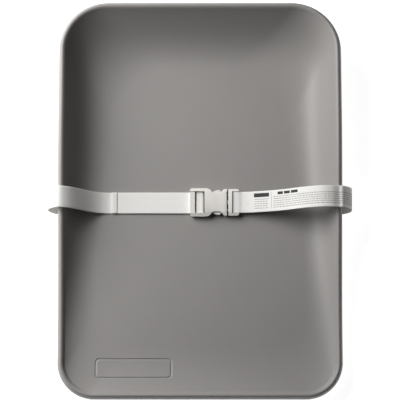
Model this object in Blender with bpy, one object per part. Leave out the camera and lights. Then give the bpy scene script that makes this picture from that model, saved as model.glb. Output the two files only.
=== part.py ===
"""Contoured changing pad: a moulded foam tray with a webbing belt and a side-release buckle.

Metres. +Z is up, +Y points to the head end and +X across the pad. The origin is the middle of
the flat base, on the surface the pad lies on.
"""

import math

import bmesh
import bpy
from mathutils import Matrix, Vector
from mathutils.bvhtree import BVHTree

# ---- overall sizes -------------------------------------------------------------------------
PAD_WIDTH = 0.500
PAD_LENGTH = 0.700
RIM_HEIGHT_HEAD = 0.100
RIM_HEIGHT_FOOT = 0.039
FLOOR_HEIGHT = 0.020
CORNER_RADIUS_HEAD = 0.088
CORNER_RADIUS_FOOT = 0.065

# ---- tray section --------------------------------------------------------------------------
BEAD_WIDTH = 0.013
BEAD_DROP = 0.007
BASE_INSET = 0.030
SIDE_WALL_HEAD = 0.088
SIDE_WALL_FOOT = 0.055
HEAD_WALL = 0.092
FOOT_WALL = 0.085
FLOOR_RADIUS_HEAD = 0.105
FLOOR_RADIUS_FOOT = 0.060
RIM_FALL_START = 0.150
RIM_FALL_END = 0.090 - PAD_LENGTH / 2
WALL_STEPS = (0.0, 0.06, 0.13, 0.21, 0.30, 0.40, 0.51, 0.63, 0.76, 0.89, 1.0)
SIDE_SEGMENTS = 18
END_SEGMENTS = 10
ARC_SEGMENTS = 10

# ---- blank pressed-in frame in the dish ----------------------------------------------------
FRAME_CENTRE = (0.1335 - PAD_WIDTH / 2, 0.0550 - PAD_LENGTH / 2)
FRAME_SIZE = (0.132, 0.033)
FRAME_RADIUS = 0.006
FRAME_GROOVE = 0.0022
FRAME_DEPTH = 0.0012

# ---- belt ----------------------------------------------------------------------------------
WEBBING_WIDTH = 0.038
WEBBING_THICKNESS = 0.0015
GAP = 0.0003
LOOP_REACH = PAD_WIDTH / 2 + 0.018
TAIL_END = PAD_WIDTH / 2 - 0.093
BELT_Z = FLOOR_HEIGHT + GAP + WEBBING_THICKNESS / 2 + 0.00005
LAYER_STEP = WEBBING_THICKNESS + GAP
HEM_LENGTH = 0.008
ANCHOR_X = PAD_WIDTH / 2 - 0.078
ANCHOR_HEM = 0.024

# ---- strap anchors under the pad -----------------------------------------------------------
CLAMP_SIZE = (0.040, WEBBING_WIDTH + 0.022, 0.0025)
BACKING_SIZE = (0.050, WEBBING_WIDTH + 0.034, 0.0030)
SCREW_SPACING = (0.026, WEBBING_WIDTH + 0.011)
SCREW_RADIUS = 0.00175
SCREW_HEAD_RADIUS = 0.0037
SCREW_HEAD_HEIGHT = 0.0018
SCREW_HEAD_Z = 0.0007
SCREW_HOLE_RADIUS = SCREW_RADIUS + 0.00035
CLAMP_Z = SCREW_HEAD_Z + SCREW_HEAD_HEIGHT + GAP
ANCHOR_BELT_Z = CLAMP_Z + CLAMP_SIZE[2] + GAP + WEBBING_THICKNESS / 2
BACKING_Z = ANCHOR_BELT_Z + 1.5 * WEBBING_THICKNESS + GAP
POCKET_TOP = BACKING_Z + BACKING_SIZE[2] + GAP
CHANNEL_TOP = ANCHOR_BELT_Z + WEBBING_THICKNESS + 0.0004
CHANNEL_HALF = WEBBING_WIDTH / 2 + 0.003
POCKET_GAP = 0.0005

# ---- side-release buckle -------------------------------------------------------------------
BUCKLE_BOTTOM = FLOOR_HEIGHT + 0.0005
BUCKLE_THICKNESS = 0.0130
BUCKLE_MID = BUCKLE_BOTTOM + BUCKLE_THICKNESS / 2
RAIL_INNER = WEBBING_WIDTH / 2 + 0.0006
SOCKET_HALF = RAIL_INNER + 0.0059
COLLAR_HALF = RAIL_INNER + 0.0044
CREST_HALF = 0.0180
EDGE_HALF_HEIGHT = 0.0034
ADJUSTER_END = -0.0175
BODY_START = 0.0080
CAVITY_START = 0.0125
COLLAR_START = 0.0430
MOUTH = 0.0480
CAVITY_HEIGHT = 0.0074
CAVITY_HALF = 0.0225
MOUTH_HALF = 0.0212
WAIST_HALF = 0.0176
END_BAR = (ADJUSTER_END, -0.0090)
LOCK_BAR = (-0.0055, 0.0045)
BAR_ROUND = 0.0014
BAR_BOTTOM = BELT_Z + LAYER_STEP + WEBBING_THICKNESS / 2 + GAP + 0.0001
LOCK_BAR_TOP = BAR_BOTTOM + 0.0030
END_BAR_TOP = BAR_BOTTOM + 0.0075
PLUG_START = 0.0505
PLUG_BLOCK_END = 0.0572
PLUG_BAR = (0.0602, 0.0695)
PLUG_HALF = RAIL_INNER + 0.0044
PLUG_THICKNESS = 0.0114
PLUG_EDGE = 0.0012
PLUG_BAR_THICKNESS = 0.0036
BLADE_TIP = 0.0290
BLADE_HALF = 0.0035
HINGE_X = 0.0530
HINGE_Y = 0.0135
PRONG_TIP = 0.0190
PRONG_HEIGHT = CAVITY_HEIGHT - 0.0008
PRONG_ROOT_RADIUS = 0.0018
PRONG_TAB = 0.0222
PRONG_SHOULDER = 0.0363


def material(name, colour, roughness, metallic=0.0):
    made = bpy.data.materials.new(name)
    made.use_nodes = True
    shader = made.node_tree.nodes["Principled BSDF"]
    shader.inputs["Base Color"].default_value = (*colour, 1.0)
    shader.inputs["Roughness"].default_value = roughness
    shader.inputs["Metallic"].default_value = metallic
    return made


def make_object(name, bm, look, smooth=False):
    """One object from a bmesh whose points are already in world space."""
    bmesh.ops.recalc_face_normals(bm, faces=bm.faces)
    mesh = bpy.data.meshes.new(name)
    bm.to_mesh(mesh)
    bm.free()
    for face in mesh.polygons:
        face.use_smooth = smooth
    obj = bpy.data.objects.new(name, mesh)
    if look:
        mesh.materials.append(look)
    bpy.context.scene.collection.objects.link(obj)
    return obj


def cutter(bm):
    """A helper solid for a Boolean, left out of renders."""
    obj = make_object("cutter", bm, None)
    obj.hide_render = True
    obj.display_type = "WIRE"
    return obj


def cut(obj, tools, operation="DIFFERENCE"):
    """Applies one Boolean per helper to the object and removes the helpers."""
    for tool in tools:
        modifier = obj.modifiers.new("cut", "BOOLEAN")
        modifier.operation = operation
        modifier.solver = "EXACT"
        modifier.object = tool
        graph = bpy.context.evaluated_depsgraph_get()
        mesh = bpy.data.meshes.new_from_object(obj.evaluated_get(graph))
        obj.modifiers.clear()
        old = obj.data
        obj.data = mesh
        bpy.data.meshes.remove(old)
        bpy.data.objects.remove(tool)
    return obj


def box_mesh(low, high):
    bm = bmesh.new()
    bmesh.ops.create_cube(bm, size=1.0)
    size = Vector(high) - Vector(low)
    middle = (Vector(high) + Vector(low)) / 2
    matrix = Matrix.Translation(middle) @ Matrix.Diagonal((*size, 1.0))
    bmesh.ops.transform(bm, matrix=matrix, verts=bm.verts)
    return bm


def cylinder_mesh(centre, radius, low, high, segments=24):
    """An upright cylinder at (x, y) from z low to z high."""
    bm = bmesh.new()
    place = Matrix.Translation((centre[0], centre[1], (low + high) / 2))
    bmesh.ops.create_cone(
        bm,
        cap_ends=True,
        segments=segments,
        radius1=radius,
        radius2=radius,
        depth=high - low,
        matrix=place,
    )
    return bm


def prism_mesh(outline, low, high, bevel=0.0, segments=2):
    """An (x, y) outline pulled up from z low to z high, with its end edges rounded."""
    bm = bmesh.new()
    points = [bm.verts.new((x, y, low)) for x, y in outline]
    base = bm.faces.new(points)
    pulled = bmesh.ops.extrude_face_region(bm, geom=[base])
    top = [item for item in pulled["geom"] if isinstance(item, bmesh.types.BMVert)]
    bmesh.ops.translate(bm, verts=top, vec=(0, 0, high - low))
    bmesh.ops.recalc_face_normals(bm, faces=bm.faces)
    if bevel:
        rims = [e for e in bm.edges if abs(e.verts[0].co.z - e.verts[1].co.z) < 1e-7]
        bmesh.ops.bevel(
            bm,
            geom=rims,
            offset=bevel,
            offset_type="OFFSET",
            affect="EDGES",
            segments=segments,
            profile=0.5,
            material=-1,
            clamp_overlap=True,
        )
    return bm


def arc(centre, radius, start, end, steps):
    """Points on a circle, from one angle to another in degrees, both ends included."""
    angles = [math.radians(start + (end - start) * k / steps) for k in range(steps + 1)]
    return [
        (centre[0] + radius * math.cos(a), centre[1] + radius * math.sin(a))
        for a in angles
    ]


def round_rectangle(centre, size, radius, steps=5):
    """Anticlockwise outline of a rectangle with round corners."""
    half_x, half_y = size[0] / 2 - radius, size[1] / 2 - radius
    outline = []
    for sign_x, sign_y, start in ((1, 1, 0), (-1, 1, 90), (-1, -1, 180), (1, -1, 270)):
        corner = (centre[0] + sign_x * half_x, centre[1] + sign_y * half_y)
        outline += arc(corner, radius, start, start + 90, steps)
    return outline


def ease(value):
    """0 to 1 with level ends."""
    value = min(max(value, 0.0), 1.0)
    return value * value * (3 - 2 * value)


# ---- tray ----------------------------------------------------------------------------------
def rim_height(y):
    """The rim is level round the head and along the sides, then falls towards the foot."""
    rise = ease((y - RIM_FALL_END) / (RIM_FALL_START - RIM_FALL_END))
    return RIM_HEIGHT_FOOT + (RIM_HEIGHT_HEAD - RIM_HEIGHT_FOOT) * rise


def side_wall_width(y):
    """The sloping side walls are broad beside the head and narrow beside the legs."""
    return SIDE_WALL_FOOT + (SIDE_WALL_HEAD - SIDE_WALL_FOOT) * ease((y + 0.12) / 0.32)


def steepness(y):
    """Share of the side wall's height that stands up steeply close under the rim."""
    return 0.12 + 0.60 * ease((y + 0.22) / 0.36)


def outline_stations(half_x, y_head, y_foot, radius_head, radius_foot):
    """One ring of the tray: (x, y, side) where side is 1 on a long side and 0 on an end."""
    ring = []

    def line(start, end, steps, side):
        for k in range(steps):
            t = k / steps
            x = start[0] + (end[0] - start[0]) * t
            y = start[1] + (end[1] - start[1]) * t
            ring.append((x, y, side))

    def corner(centre, radius, start, from_side):
        for k, (x, y) in enumerate(arc(centre, radius, start, start + 90, ARC_SEGMENTS)):
            t = ease(k / ARC_SEGMENTS)
            if k < ARC_SEGMENTS:
                ring.append((x, y, 1 - t if from_side else t))

    head_y, foot_y = y_head - radius_head, y_foot + radius_foot
    head_x, foot_x = half_x - radius_head, half_x - radius_foot
    line((half_x, foot_y), (half_x, head_y), SIDE_SEGMENTS, 1.0)
    corner((head_x, head_y), radius_head, 0, True)
    line((head_x, y_head), (-head_x, y_head), END_SEGMENTS, 0.0)
    corner((-head_x, head_y), radius_head, 90, False)
    line((-half_x, head_y), (-half_x, foot_y), SIDE_SEGMENTS, 1.0)
    corner((-foot_x, foot_y), radius_foot, 180, True)
    line((-foot_x, y_foot), (foot_x, y_foot), END_SEGMENTS, 0.0)
    corner((foot_x, foot_y), radius_foot, 270, False)
    return ring


def outer_ring(inset, height):
    """A ring of the outside, moved in from the outline; height gives z from the rim's z."""
    ring = outline_stations(
        PAD_WIDTH / 2 - inset,
        PAD_LENGTH / 2 - inset,
        -PAD_LENGTH / 2 + inset,
        CORNER_RADIUS_HEAD - inset,
        CORNER_RADIUS_FOOT - inset,
    )
    return [(x, y, height(rim_height(y))) for x, y, _ in ring]


def wall_ring(t, rim_ring):
    """A ring of the inside wall: t is 0 under the bead and 1 where the floor begins."""
    half_x = PAD_WIDTH / 2 - BEAD_WIDTH
    half_y = PAD_LENGTH / 2 - BEAD_WIDTH
    middle_width = side_wall_width(0.0)
    start_head = CORNER_RADIUS_HEAD - BEAD_WIDTH
    start_foot = CORNER_RADIUS_FOOT - BEAD_WIDTH
    ring = outline_stations(
        half_x - t * middle_width,
        half_y - t * HEAD_WALL,
        -half_y + t * FOOT_WALL,
        start_head + (FLOOR_RADIUS_HEAD - start_head) * t,
        start_foot + (FLOOR_RADIUS_FOOT - start_foot) * t,
    )
    points = []
    for (x, y, side), (_, rim_y, _) in zip(ring, rim_ring):
        narrowed = (half_x - t * side_wall_width(y)) / (half_x - t * middle_width)
        drop = rim_height(rim_y) - BEAD_DROP - FLOOR_HEIGHT
        steep = side * steepness(rim_y)
        share = steep * (1 - t) ** 5 + (1 - steep) * (1 - t) ** 2.3
        points.append((x * narrowed, y, FLOOR_HEIGHT + drop * share))
    return points


def tray_rings():
    """All rings of the tray, from the edge of the base, over the rim, to the dish floor."""
    outside = (
        (BASE_INSET, lambda h: 0.0),
        (BASE_INSET - 0.0045, lambda h: 0.0012),
        (BASE_INSET - 0.0070, lambda h: 0.0040),
        (BASE_INSET - 0.0175, lambda h: 0.004 + (h - 0.026) * 0.55),
        (0.0035, lambda h: h - 0.0220),
        (0.0010, lambda h: h - 0.0165),
        (0.0000, lambda h: h - 0.0110),
        (0.0010, lambda h: h - 0.0055),
        (0.0035, lambda h: h - 0.0015),
        (0.0065, lambda h: h),
        (0.0095, lambda h: h - 0.0013),
        (0.0118, lambda h: h - 0.0042),
    )
    rings = [outer_ring(inset, height) for inset, height in outside]
    rim_ring = outline_stations(
        PAD_WIDTH / 2 - BEAD_WIDTH,
        PAD_LENGTH / 2 - BEAD_WIDTH,
        -PAD_LENGTH / 2 + BEAD_WIDTH,
        CORNER_RADIUS_HEAD - BEAD_WIDTH,
        CORNER_RADIUS_FOOT - BEAD_WIDTH,
    )
    rings += [wall_ring(t, rim_ring) for t in WALL_STEPS]
    return rings


def loft(rings):
    """A closed solid through rings with equal numbers of points, with flat end faces."""
    bm = bmesh.new()
    loops = [[bm.verts.new(point) for point in ring] for ring in rings]
    count = len(loops[0])
    for below, above in zip(loops, loops[1:]):
        for k in range(count):
            n = (k + 1) % count
            bm.faces.new((below[k], below[n], above[n], above[k]))
    bm.faces.new(loops[0][::-1])
    bm.faces.new(loops[-1])
    return bm


def groove_mesh(tree):
    """A frame-shaped ring that follows the dish surface, FRAME_DEPTH below it."""
    loops = []
    for grow in (-FRAME_GROOVE / 2, FRAME_GROOVE / 2):
        size = (FRAME_SIZE[0] + 2 * grow, FRAME_SIZE[1] + 2 * grow)
        outline = []
        corners = round_rectangle(FRAME_CENTRE, size, FRAME_RADIUS + grow, 4)
        for k, (x, y) in enumerate(corners):
            nx, ny = corners[(k + 1) % len(corners)]
            parts = max(1, round(math.hypot(nx - x, ny - y) / 0.012))
            outline += [
                (x + (nx - x) * j / parts, y + (ny - y) * j / parts) for j in range(parts)
            ]
        loops.append(outline)
    bm = bmesh.new()
    count = len(loops[0])
    levels = []
    for outline in loops:
        for lift in (-FRAME_DEPTH, 0.004):
            row = []
            for x, y in outline:
                hit = tree.ray_cast(Vector((x, y, 0.2)), Vector((0, 0, -1)))[0]
                row.append(bm.verts.new((x, y, hit.z + lift)))
            levels.append(row)
    inner_low, inner_high, outer_low, outer_high = levels
    for k in range(count):
        n = (k + 1) % count
        bm.faces.new((inner_low[k], inner_low[n], inner_high[n], inner_high[k]))
        bm.faces.new((inner_high[k], inner_high[n], outer_high[n], outer_high[k]))
        bm.faces.new((outer_high[k], outer_high[n], outer_low[n], outer_low[k]))
        bm.faces.new((outer_low[k], outer_low[n], inner_low[n], inner_low[k]))
    return bm


def anchor_cutters(side):
    """Pocket, backing-plate recess and strap channel in the base, on one side of the pad."""
    half_x, half_y = CLAMP_SIZE[0] / 2 + POCKET_GAP, CLAMP_SIZE[1] / 2 + POCKET_GAP
    wide_x, wide_y = BACKING_SIZE[0] / 2 + GAP, BACKING_SIZE[1] / 2 + GAP
    middle = side * ANCHOR_X
    inner = middle
    outer = side * (PAD_WIDTH / 2 - 0.008)
    return [
        cutter(
            box_mesh(
                (middle - half_x, -half_y, -0.002),
                (middle + half_x, half_y, BACKING_Z),
            )
        ),
        cutter(
            box_mesh(
                (middle - wide_x, -wide_y, BACKING_Z - GAP),
                (middle + wide_x, wide_y, POCKET_TOP),
            )
        ),
        cutter(
            box_mesh(
                (min(inner, outer), -CHANNEL_HALF, -0.003),
                (max(inner, outer), CHANNEL_HALF, CHANNEL_TOP),
            )
        ),
    ]


def build_tray(look):
    rings = tray_rings()
    plain = loft(rings)
    tree = BVHTree.FromBMesh(plain)
    pad = make_object("pad_body", plain, look, smooth=True)
    tools = [cutter(groove_mesh(tree))]
    for side in (-1, 1):
        tools += anchor_cutters(side)
    return cut(pad, tools)


# ---- belt ----------------------------------------------------------------------------------
def smooth_path(points, steps=6):
    """A Catmull-Rom curve through (x, z) points, centripetal so that it doesn't loop."""
    ends = [
        (2 * points[0][0] - points[1][0], 2 * points[0][1] - points[1][1]),
        (2 * points[-1][0] - points[-2][0], 2 * points[-1][1] - points[-2][1]),
    ]
    line = [Vector(p) for p in [ends[0], *points, ends[1]]]
    path = []
    for a, b, c, d in zip(line, line[1:], line[2:], line[3:]):
        t1 = max((b - a).length, 1e-6) ** 0.5
        t2 = t1 + max((c - b).length, 1e-6) ** 0.5
        t3 = t2 + max((d - c).length, 1e-6) ** 0.5
        for k in range(steps):
            t = t1 + (t2 - t1) * k / steps
            ab = a * ((t1 - t) / t1) + b * (t / t1)
            bc = b * ((t2 - t) / (t2 - t1)) + c * ((t - t1) / (t2 - t1))
            cd = c * ((t3 - t) / (t3 - t2)) + d * ((t - t2) / (t3 - t2))
            abc = ab * ((t2 - t) / t2) + bc * (t / t2)
            bcd = bc * ((t3 - t) / (t3 - t1)) + cd * ((t - t1) / (t3 - t1))
            path.append(abc * ((t2 - t) / (t2 - t1)) + bcd * ((t - t1) / (t2 - t1)))
    path.append(line[-2])
    return [(p.x, p.y) for p in path]


def ribbon_mesh(path, hems=(), thickness=WEBBING_THICKNESS, width=WEBBING_WIDTH):
    """A band of even thickness along an (x, z) path, as wide as the webbing along Y.

    hems lists (first, last) ranges of x where the folded and sewn end adds a second layer on
    the upper side of the band, at the path's start or at its end.
    """
    left, right = [], []
    for k, point in enumerate(path):
        before = Vector(path[max(k - 1, 0)])
        after = Vector(path[min(k + 1, len(path) - 1)])
        along = (after - before).normalized()
        across = Vector((-along.y, along.x)) * (thickness / 2)
        left.append(Vector(point) + across)
        right.append(Vector(point) - across)
    for at_start, first, last in hems:
        end, inner = (0, 1) if at_start else (len(path) - 1, len(path) - 2)
        right[end] += Vector((0, thickness))
        step = right[inner].copy()
        right[inner] += Vector((0, thickness))
        away = Vector((last - first, 0)).normalized() * 0.0002
        extra = inner + 1 if at_start else inner
        right.insert(extra, step + away)
        left.insert(extra, left[inner] + away)
    bm = bmesh.new()
    rows = []
    for y in (-width / 2, width / 2):
        rows.append([[bm.verts.new((p.x, y, p.y)) for p in line] for line in (left, right)])
    (left_near, right_near), (left_far, right_far) = rows
    for k in range(len(left) - 1):
        bm.faces.new((left_near[k], left_near[k + 1], left_far[k + 1], left_far[k]))
        bm.faces.new((right_near[k + 1], right_near[k], right_far[k], right_far[k + 1]))
        bm.faces.new((right_near[k], right_near[k + 1], left_near[k + 1], left_near[k]))
        bm.faces.new((left_far[k], left_far[k + 1], right_far[k + 1], right_far[k]))
    bm.faces.new((left_near[0], left_far[0], right_far[0], right_near[0]))
    bm.faces.new((right_near[-1], right_far[-1], left_far[-1], left_near[-1]))
    return bm


def rim_top():
    """Highest point of the rim under the belt."""
    return rim_height(WEBBING_WIDTH / 2)


def outside_loop(side):
    """Belt course from the clamp under the pad, out, up beside the rim and onto it."""
    rim = rim_top()
    top = rim + GAP + WEBBING_THICKNESS / 2 + 0.0006
    reach = LOOP_REACH
    edge = PAD_WIDTH / 2
    start = ANCHOR_X - CLAMP_SIZE[0] / 2 + 0.002
    course = (
        (start, ANCHOR_BELT_Z),
        (start + ANCHOR_HEM, ANCHOR_BELT_Z),
        (edge - 0.0450, ANCHOR_BELT_Z),
        (edge - 0.0280, ANCHOR_BELT_Z + 0.0001),
        (edge - 0.0100, 0.086 * rim),
        (reach - 0.0115, 0.183 * rim),
        (reach - 0.0020, 0.376 * rim),
        (reach, 0.580 * rim),
        (reach - 0.0022, 0.773 * rim),
        (reach - 0.0095, 0.915 * rim),
        (edge, top),
        (edge - 0.0065, top),
    )
    return [(side * x, z) for x, z in course]


# Left belt over the inside wall: share of the wall's width from the bead, share of its height.
LEFT_WALL = (
    (0.070, 0.932),
    (0.237, 0.773),
    (0.390, 0.588),
    (0.530, 0.422),
    (0.683, 0.262),
    (0.823, 0.147),
    (0.962, 0.070),
    (1.130, 0.026),
)
# Right belt from the sewn loop up to the rim: share of the way across, share of the rise.
RIGHT_RISE = (
    (0.192, 0.157),
    (0.400, 0.402),
    (0.577, 0.688),
    (0.738, 0.890),
    (0.877, 1.0),
    (1.0, 1.0),
)


def build_left_webbing(look):
    """Belt from the left anchor to the ladder bars and back over itself as the free tail."""
    belt = BELT_Z
    tail = BELT_Z + LAYER_STEP
    over = LOCK_BAR_TOP + GAP + WEBBING_THICKNESS / 2
    reach = WEBBING_THICKNESS / 2 + GAP
    wrap = BAR_ROUND + reach
    inner_x = LOCK_BAR[1] + reach
    outer_x = LOCK_BAR[0] - reach
    wall = PAD_WIDTH / 2 - BEAD_WIDTH
    width = side_wall_width(0.0)
    down_the_wall = [
        (-wall + u * width, FLOOR_HEIGHT + s * (rim_top() - FLOOR_HEIGHT)) for u, s in LEFT_WALL
    ]
    flat = -wall + 1.492 * width
    down_the_wall += [(-wall + 1.283 * width, belt + 0.0001), (flat, belt)]
    start, *rest = outside_loop(-1)
    course = [start] + smooth_path(rest + down_the_wall)
    course += [(flat + (-0.0100 - flat) * k / 3, belt) for k in (1, 2, 3)]
    course += arc((inner_x - 0.0020, belt + 0.0020), 0.0020, -75, 0, 5)
    course += arc((inner_x - wrap, over - wrap), wrap, 0, 90, 5)
    course += arc((outer_x + wrap, over - wrap), wrap, 90, 180, 5)
    course += [(outer_x, tail + 0.0012)]
    course += arc((outer_x - 0.0012, tail + 0.0012), 0.0012, -15, -90, 4)
    hem_start = -TAIL_END + HEM_LENGTH
    course += [(-0.0200 + (hem_start + 0.0200) * k / 4, tail) for k in range(5)]
    course += [(-TAIL_END, tail)]
    anchored = (True, course[0][0], course[1][0])
    hems = [(False, -TAIL_END, hem_start), anchored]
    return make_object("strap_webbing_left", ribbon_mesh(course, hems), look)


def build_right_webbing(look):
    """Belt from a loop sewn round the plug's bar, up to the rim and down to the right anchor.

    The turned-back end of the loop is on the underside.
    """
    reach = WEBBING_THICKNESS / 2 + GAP
    low = BUCKLE_MID - PLUG_BAR_THICKNESS / 2 - reach
    high = BUCKLE_MID + PLUG_BAR_THICKNESS / 2 + reach
    bar_low, bar_high = low + reach, high - reach
    bar_start, bar_end = PLUG_BAR
    under = [
        (bar_end + 0.0315, BUCKLE_MID + 0.0062),
        (bar_end + 0.0185, BUCKLE_MID + 0.0023),
        (bar_end + 0.0095, BUCKLE_MID - 0.0002),
        (bar_end, low),
        (bar_start + 0.002, low),
    ]
    course = smooth_path(under, 4)
    course += arc((bar_start, bar_low), reach, 270, 180, 4)
    course += arc((bar_start, bar_high), reach, 180, 90, 4)
    rise_start = (bar_end + 0.0315, BUCKLE_MID + 0.0064 + LAYER_STEP)
    rise_end = (PAD_WIDTH / 2 - 0.0190, rim_top() + 0.0052)
    rise = [
        (bar_start + 0.002, high),
        (bar_end, high),
        (bar_end + 0.0040, high - 0.0005),
        (bar_end + 0.0095, BUCKLE_MID + 0.0010 + LAYER_STEP),
        (bar_end + 0.0185, BUCKLE_MID + 0.0026 + LAYER_STEP),
        rise_start,
    ]
    across, up = rise_end[0] - rise_start[0], rise_end[1] - rise_start[1]
    rise += [(rise_start[0] + u * across, rise_start[1] + s * up) for u, s in RIGHT_RISE]
    course += smooth_path(rise + outside_loop(1)[::-1][:-1]) + [outside_loop(1)[0]]
    hems = [(False, course[-1][0], course[-2][0])]
    return make_object("strap_webbing_right", ribbon_mesh(course, hems), look)


# ---- strap anchors -------------------------------------------------------------------------
def screw_places(side):
    return [
        (side * ANCHOR_X + sx * SCREW_SPACING[0] / 2, sy * SCREW_SPACING[1] / 2)
        for sx in (-1, 1)
        for sy in (-1, 1)
    ]


def build_plate(name, size, low, side, look):
    """A rounded plate with a screw hole near each corner."""
    outline = round_rectangle((side * ANCHOR_X, 0.0), size[:2], 0.004)
    plate = make_object(name, prism_mesh(outline, low, low + size[2], 0.0004, 1), look)
    holes = [
        cutter(cylinder_mesh(at, SCREW_HOLE_RADIUS, low - 0.001, low + size[2] + 0.001))
        for at in screw_places(side)
    ]
    return cut(plate, holes)


def build_screw(name, at, look):
    """A pan-head screw, head down, with a hexagon recess."""
    head_top = SCREW_HEAD_Z + SCREW_HEAD_HEIGHT
    tip = BACKING_Z + BACKING_SIZE[2] - 0.0002
    profile = (
        (0.0, SCREW_HEAD_Z),
        (SCREW_HEAD_RADIUS * 0.75, SCREW_HEAD_Z),
        (SCREW_HEAD_RADIUS, SCREW_HEAD_Z + 0.0006),
        (SCREW_HEAD_RADIUS, head_top),
        (SCREW_RADIUS, head_top),
        (SCREW_RADIUS, tip - 0.0010),
        (SCREW_RADIUS * 0.6, tip),
        (0.0, tip),
    )
    bm = bmesh.new()
    points = [bm.verts.new((at[0] + r, at[1], z)) for r, z in profile]
    edges = [bm.edges.new(pair) for pair in zip(points, points[1:])]
    bmesh.ops.spin(
        bm,
        geom=points + edges,
        cent=(at[0], at[1], 0.0),
        axis=(0, 0, 1),
        angle=2 * math.pi,
        steps=16,
        use_merge=True,
    )
    bmesh.ops.remove_doubles(bm, verts=bm.verts, dist=1e-6)
    screw = make_object(name, bm, look, smooth=False)
    recess = cylinder_mesh(at, 0.0013, SCREW_HEAD_Z - 0.001, SCREW_HEAD_Z + 0.0010, 6)
    return cut(screw, [cutter(recess)])


def build_anchors(plastic, insert, steel):
    for side, word in ((-1, "left"), (1, "right")):
        build_plate(f"anchor_clamp_plate_{word}", CLAMP_SIZE, CLAMP_Z, side, plastic)
        build_plate(f"anchor_backing_plate_{word}", BACKING_SIZE, BACKING_Z, side, insert)
        for k, at in enumerate(screw_places(side)):
            build_screw(f"anchor_screw_{word}_{k + 1}", at, steel)


# ---- buckle --------------------------------------------------------------------------------
def mirrored(half):
    """Closes an outline given for y > 0, in order of rising x, with its mirror image."""
    return list(half)[::-1] + [(x, -y) for x, y in half]


def crown_mesh(half_width, half_height, start, end):
    """Bar along X whose section falls away from a flat crest to a thin edge, top and bottom."""
    over = 0.0005
    slope = (half_height - EDGE_HALF_HEIGHT) / (half_width - CREST_HALF)
    crest, edge = CREST_HALF - over / slope, half_width + over
    top, side = half_height + over, EDGE_HALF_HEIGHT - over * slope
    quarter = [(edge, side), (crest, top)]
    section = quarter + [(-y, z) for y, z in quarter[::-1]]
    section += [(-y, -z) for y, z in section]
    bm = bmesh.new()
    first = [bm.verts.new((start - over, y, BUCKLE_MID + z)) for y, z in section]
    pulled = bmesh.ops.extrude_face_region(bm, geom=[bm.faces.new(first)])["geom"]
    far = [item for item in pulled if isinstance(item, bmesh.types.BMVert)]
    bmesh.ops.translate(bm, verts=far, vec=(end - start + 2 * over, 0.0, 0.0))
    bmesh.ops.recalc_face_normals(bm, faces=bm.faces)
    return bm


def socket_outline():
    """Plan of the socket: full width at the ladder bars, waisted at the release windows."""
    corner = 0.004
    end = arc((ADJUSTER_END + corner, SOCKET_HALF - corner), corner, 180, 90, 5)
    notch = (
        (0.0090, SOCKET_HALF),
        (0.0140, SOCKET_HALF - 0.0006),
        (0.0180, SOCKET_HALF - 0.0030),
        (0.0210, SOCKET_HALF - 0.0062),
        (0.0250, WAIST_HALF + 0.0002),
        (0.0310, WAIST_HALF - 0.0002),
        (0.0365, WAIST_HALF + 0.0006),
        (0.0400, WAIST_HALF + 0.0030),
        (0.0422, COLLAR_HALF - 0.0006),
        (0.0440, COLLAR_HALF),
        (MOUTH, COLLAR_HALF),
    )
    return mirrored(end + list(notch))


def build_socket(look):
    """Female half: ladder bars, hollow body open at the mouth and at both side windows."""
    low, high = BUCKLE_BOTTOM, BUCKLE_BOTTOM + BUCKLE_THICKNESS
    bm = prism_mesh(socket_outline(), low, high, 0.0016, 3)
    socket = make_object("buckle_socket", bm, look)
    crown = crown_mesh(SOCKET_HALF, BUCKLE_THICKNESS / 2, ADJUSTER_END, MOUTH)
    cut(socket, [cutter(crown)], "INTERSECT")
    over = 0.002
    well = box_mesh(
        (END_BAR[1], -RAIL_INNER, low - over), (BODY_START, RAIL_INNER, high + over)
    )
    under = box_mesh(
        (ADJUSTER_END - over, -RAIL_INNER, low - over),
        (BODY_START - 0.001, RAIL_INNER, BAR_BOTTOM),
    )
    above = box_mesh(
        (ADJUSTER_END - over, -RAIL_INNER, END_BAR_TOP),
        (BODY_START - 0.001, RAIL_INNER, high + over),
    )
    inside = box_mesh(
        (CAVITY_START, -CAVITY_HALF, BUCKLE_MID - CAVITY_HEIGHT / 2),
        (COLLAR_START, CAVITY_HALF, BUCKLE_MID + CAVITY_HEIGHT / 2),
    )
    mouth = box_mesh(
        (COLLAR_START - 0.001, -MOUTH_HALF, BUCKLE_MID - CAVITY_HEIGHT / 2),
        (MOUTH + over, MOUTH_HALF, BUCKLE_MID + CAVITY_HEIGHT / 2),
    )
    cut(socket, [cutter(bm) for bm in (well, under, above, inside, mouth)])
    bar = box_mesh(
        (LOCK_BAR[0], -RAIL_INNER - 0.001, BAR_BOTTOM),
        (LOCK_BAR[1], RAIL_INNER + 0.001, LOCK_BAR_TOP),
    )
    rounded = [e for e in bar.edges if abs(e.verts[0].co.y - e.verts[1].co.y) > 0.01]
    bmesh.ops.bevel(
        bar,
        geom=rounded,
        offset=BAR_ROUND,
        affect="EDGES",
        segments=4,
        profile=0.5,
        material=-1,
    )
    return cut(socket, [cutter(bar)], "UNION")


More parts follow.
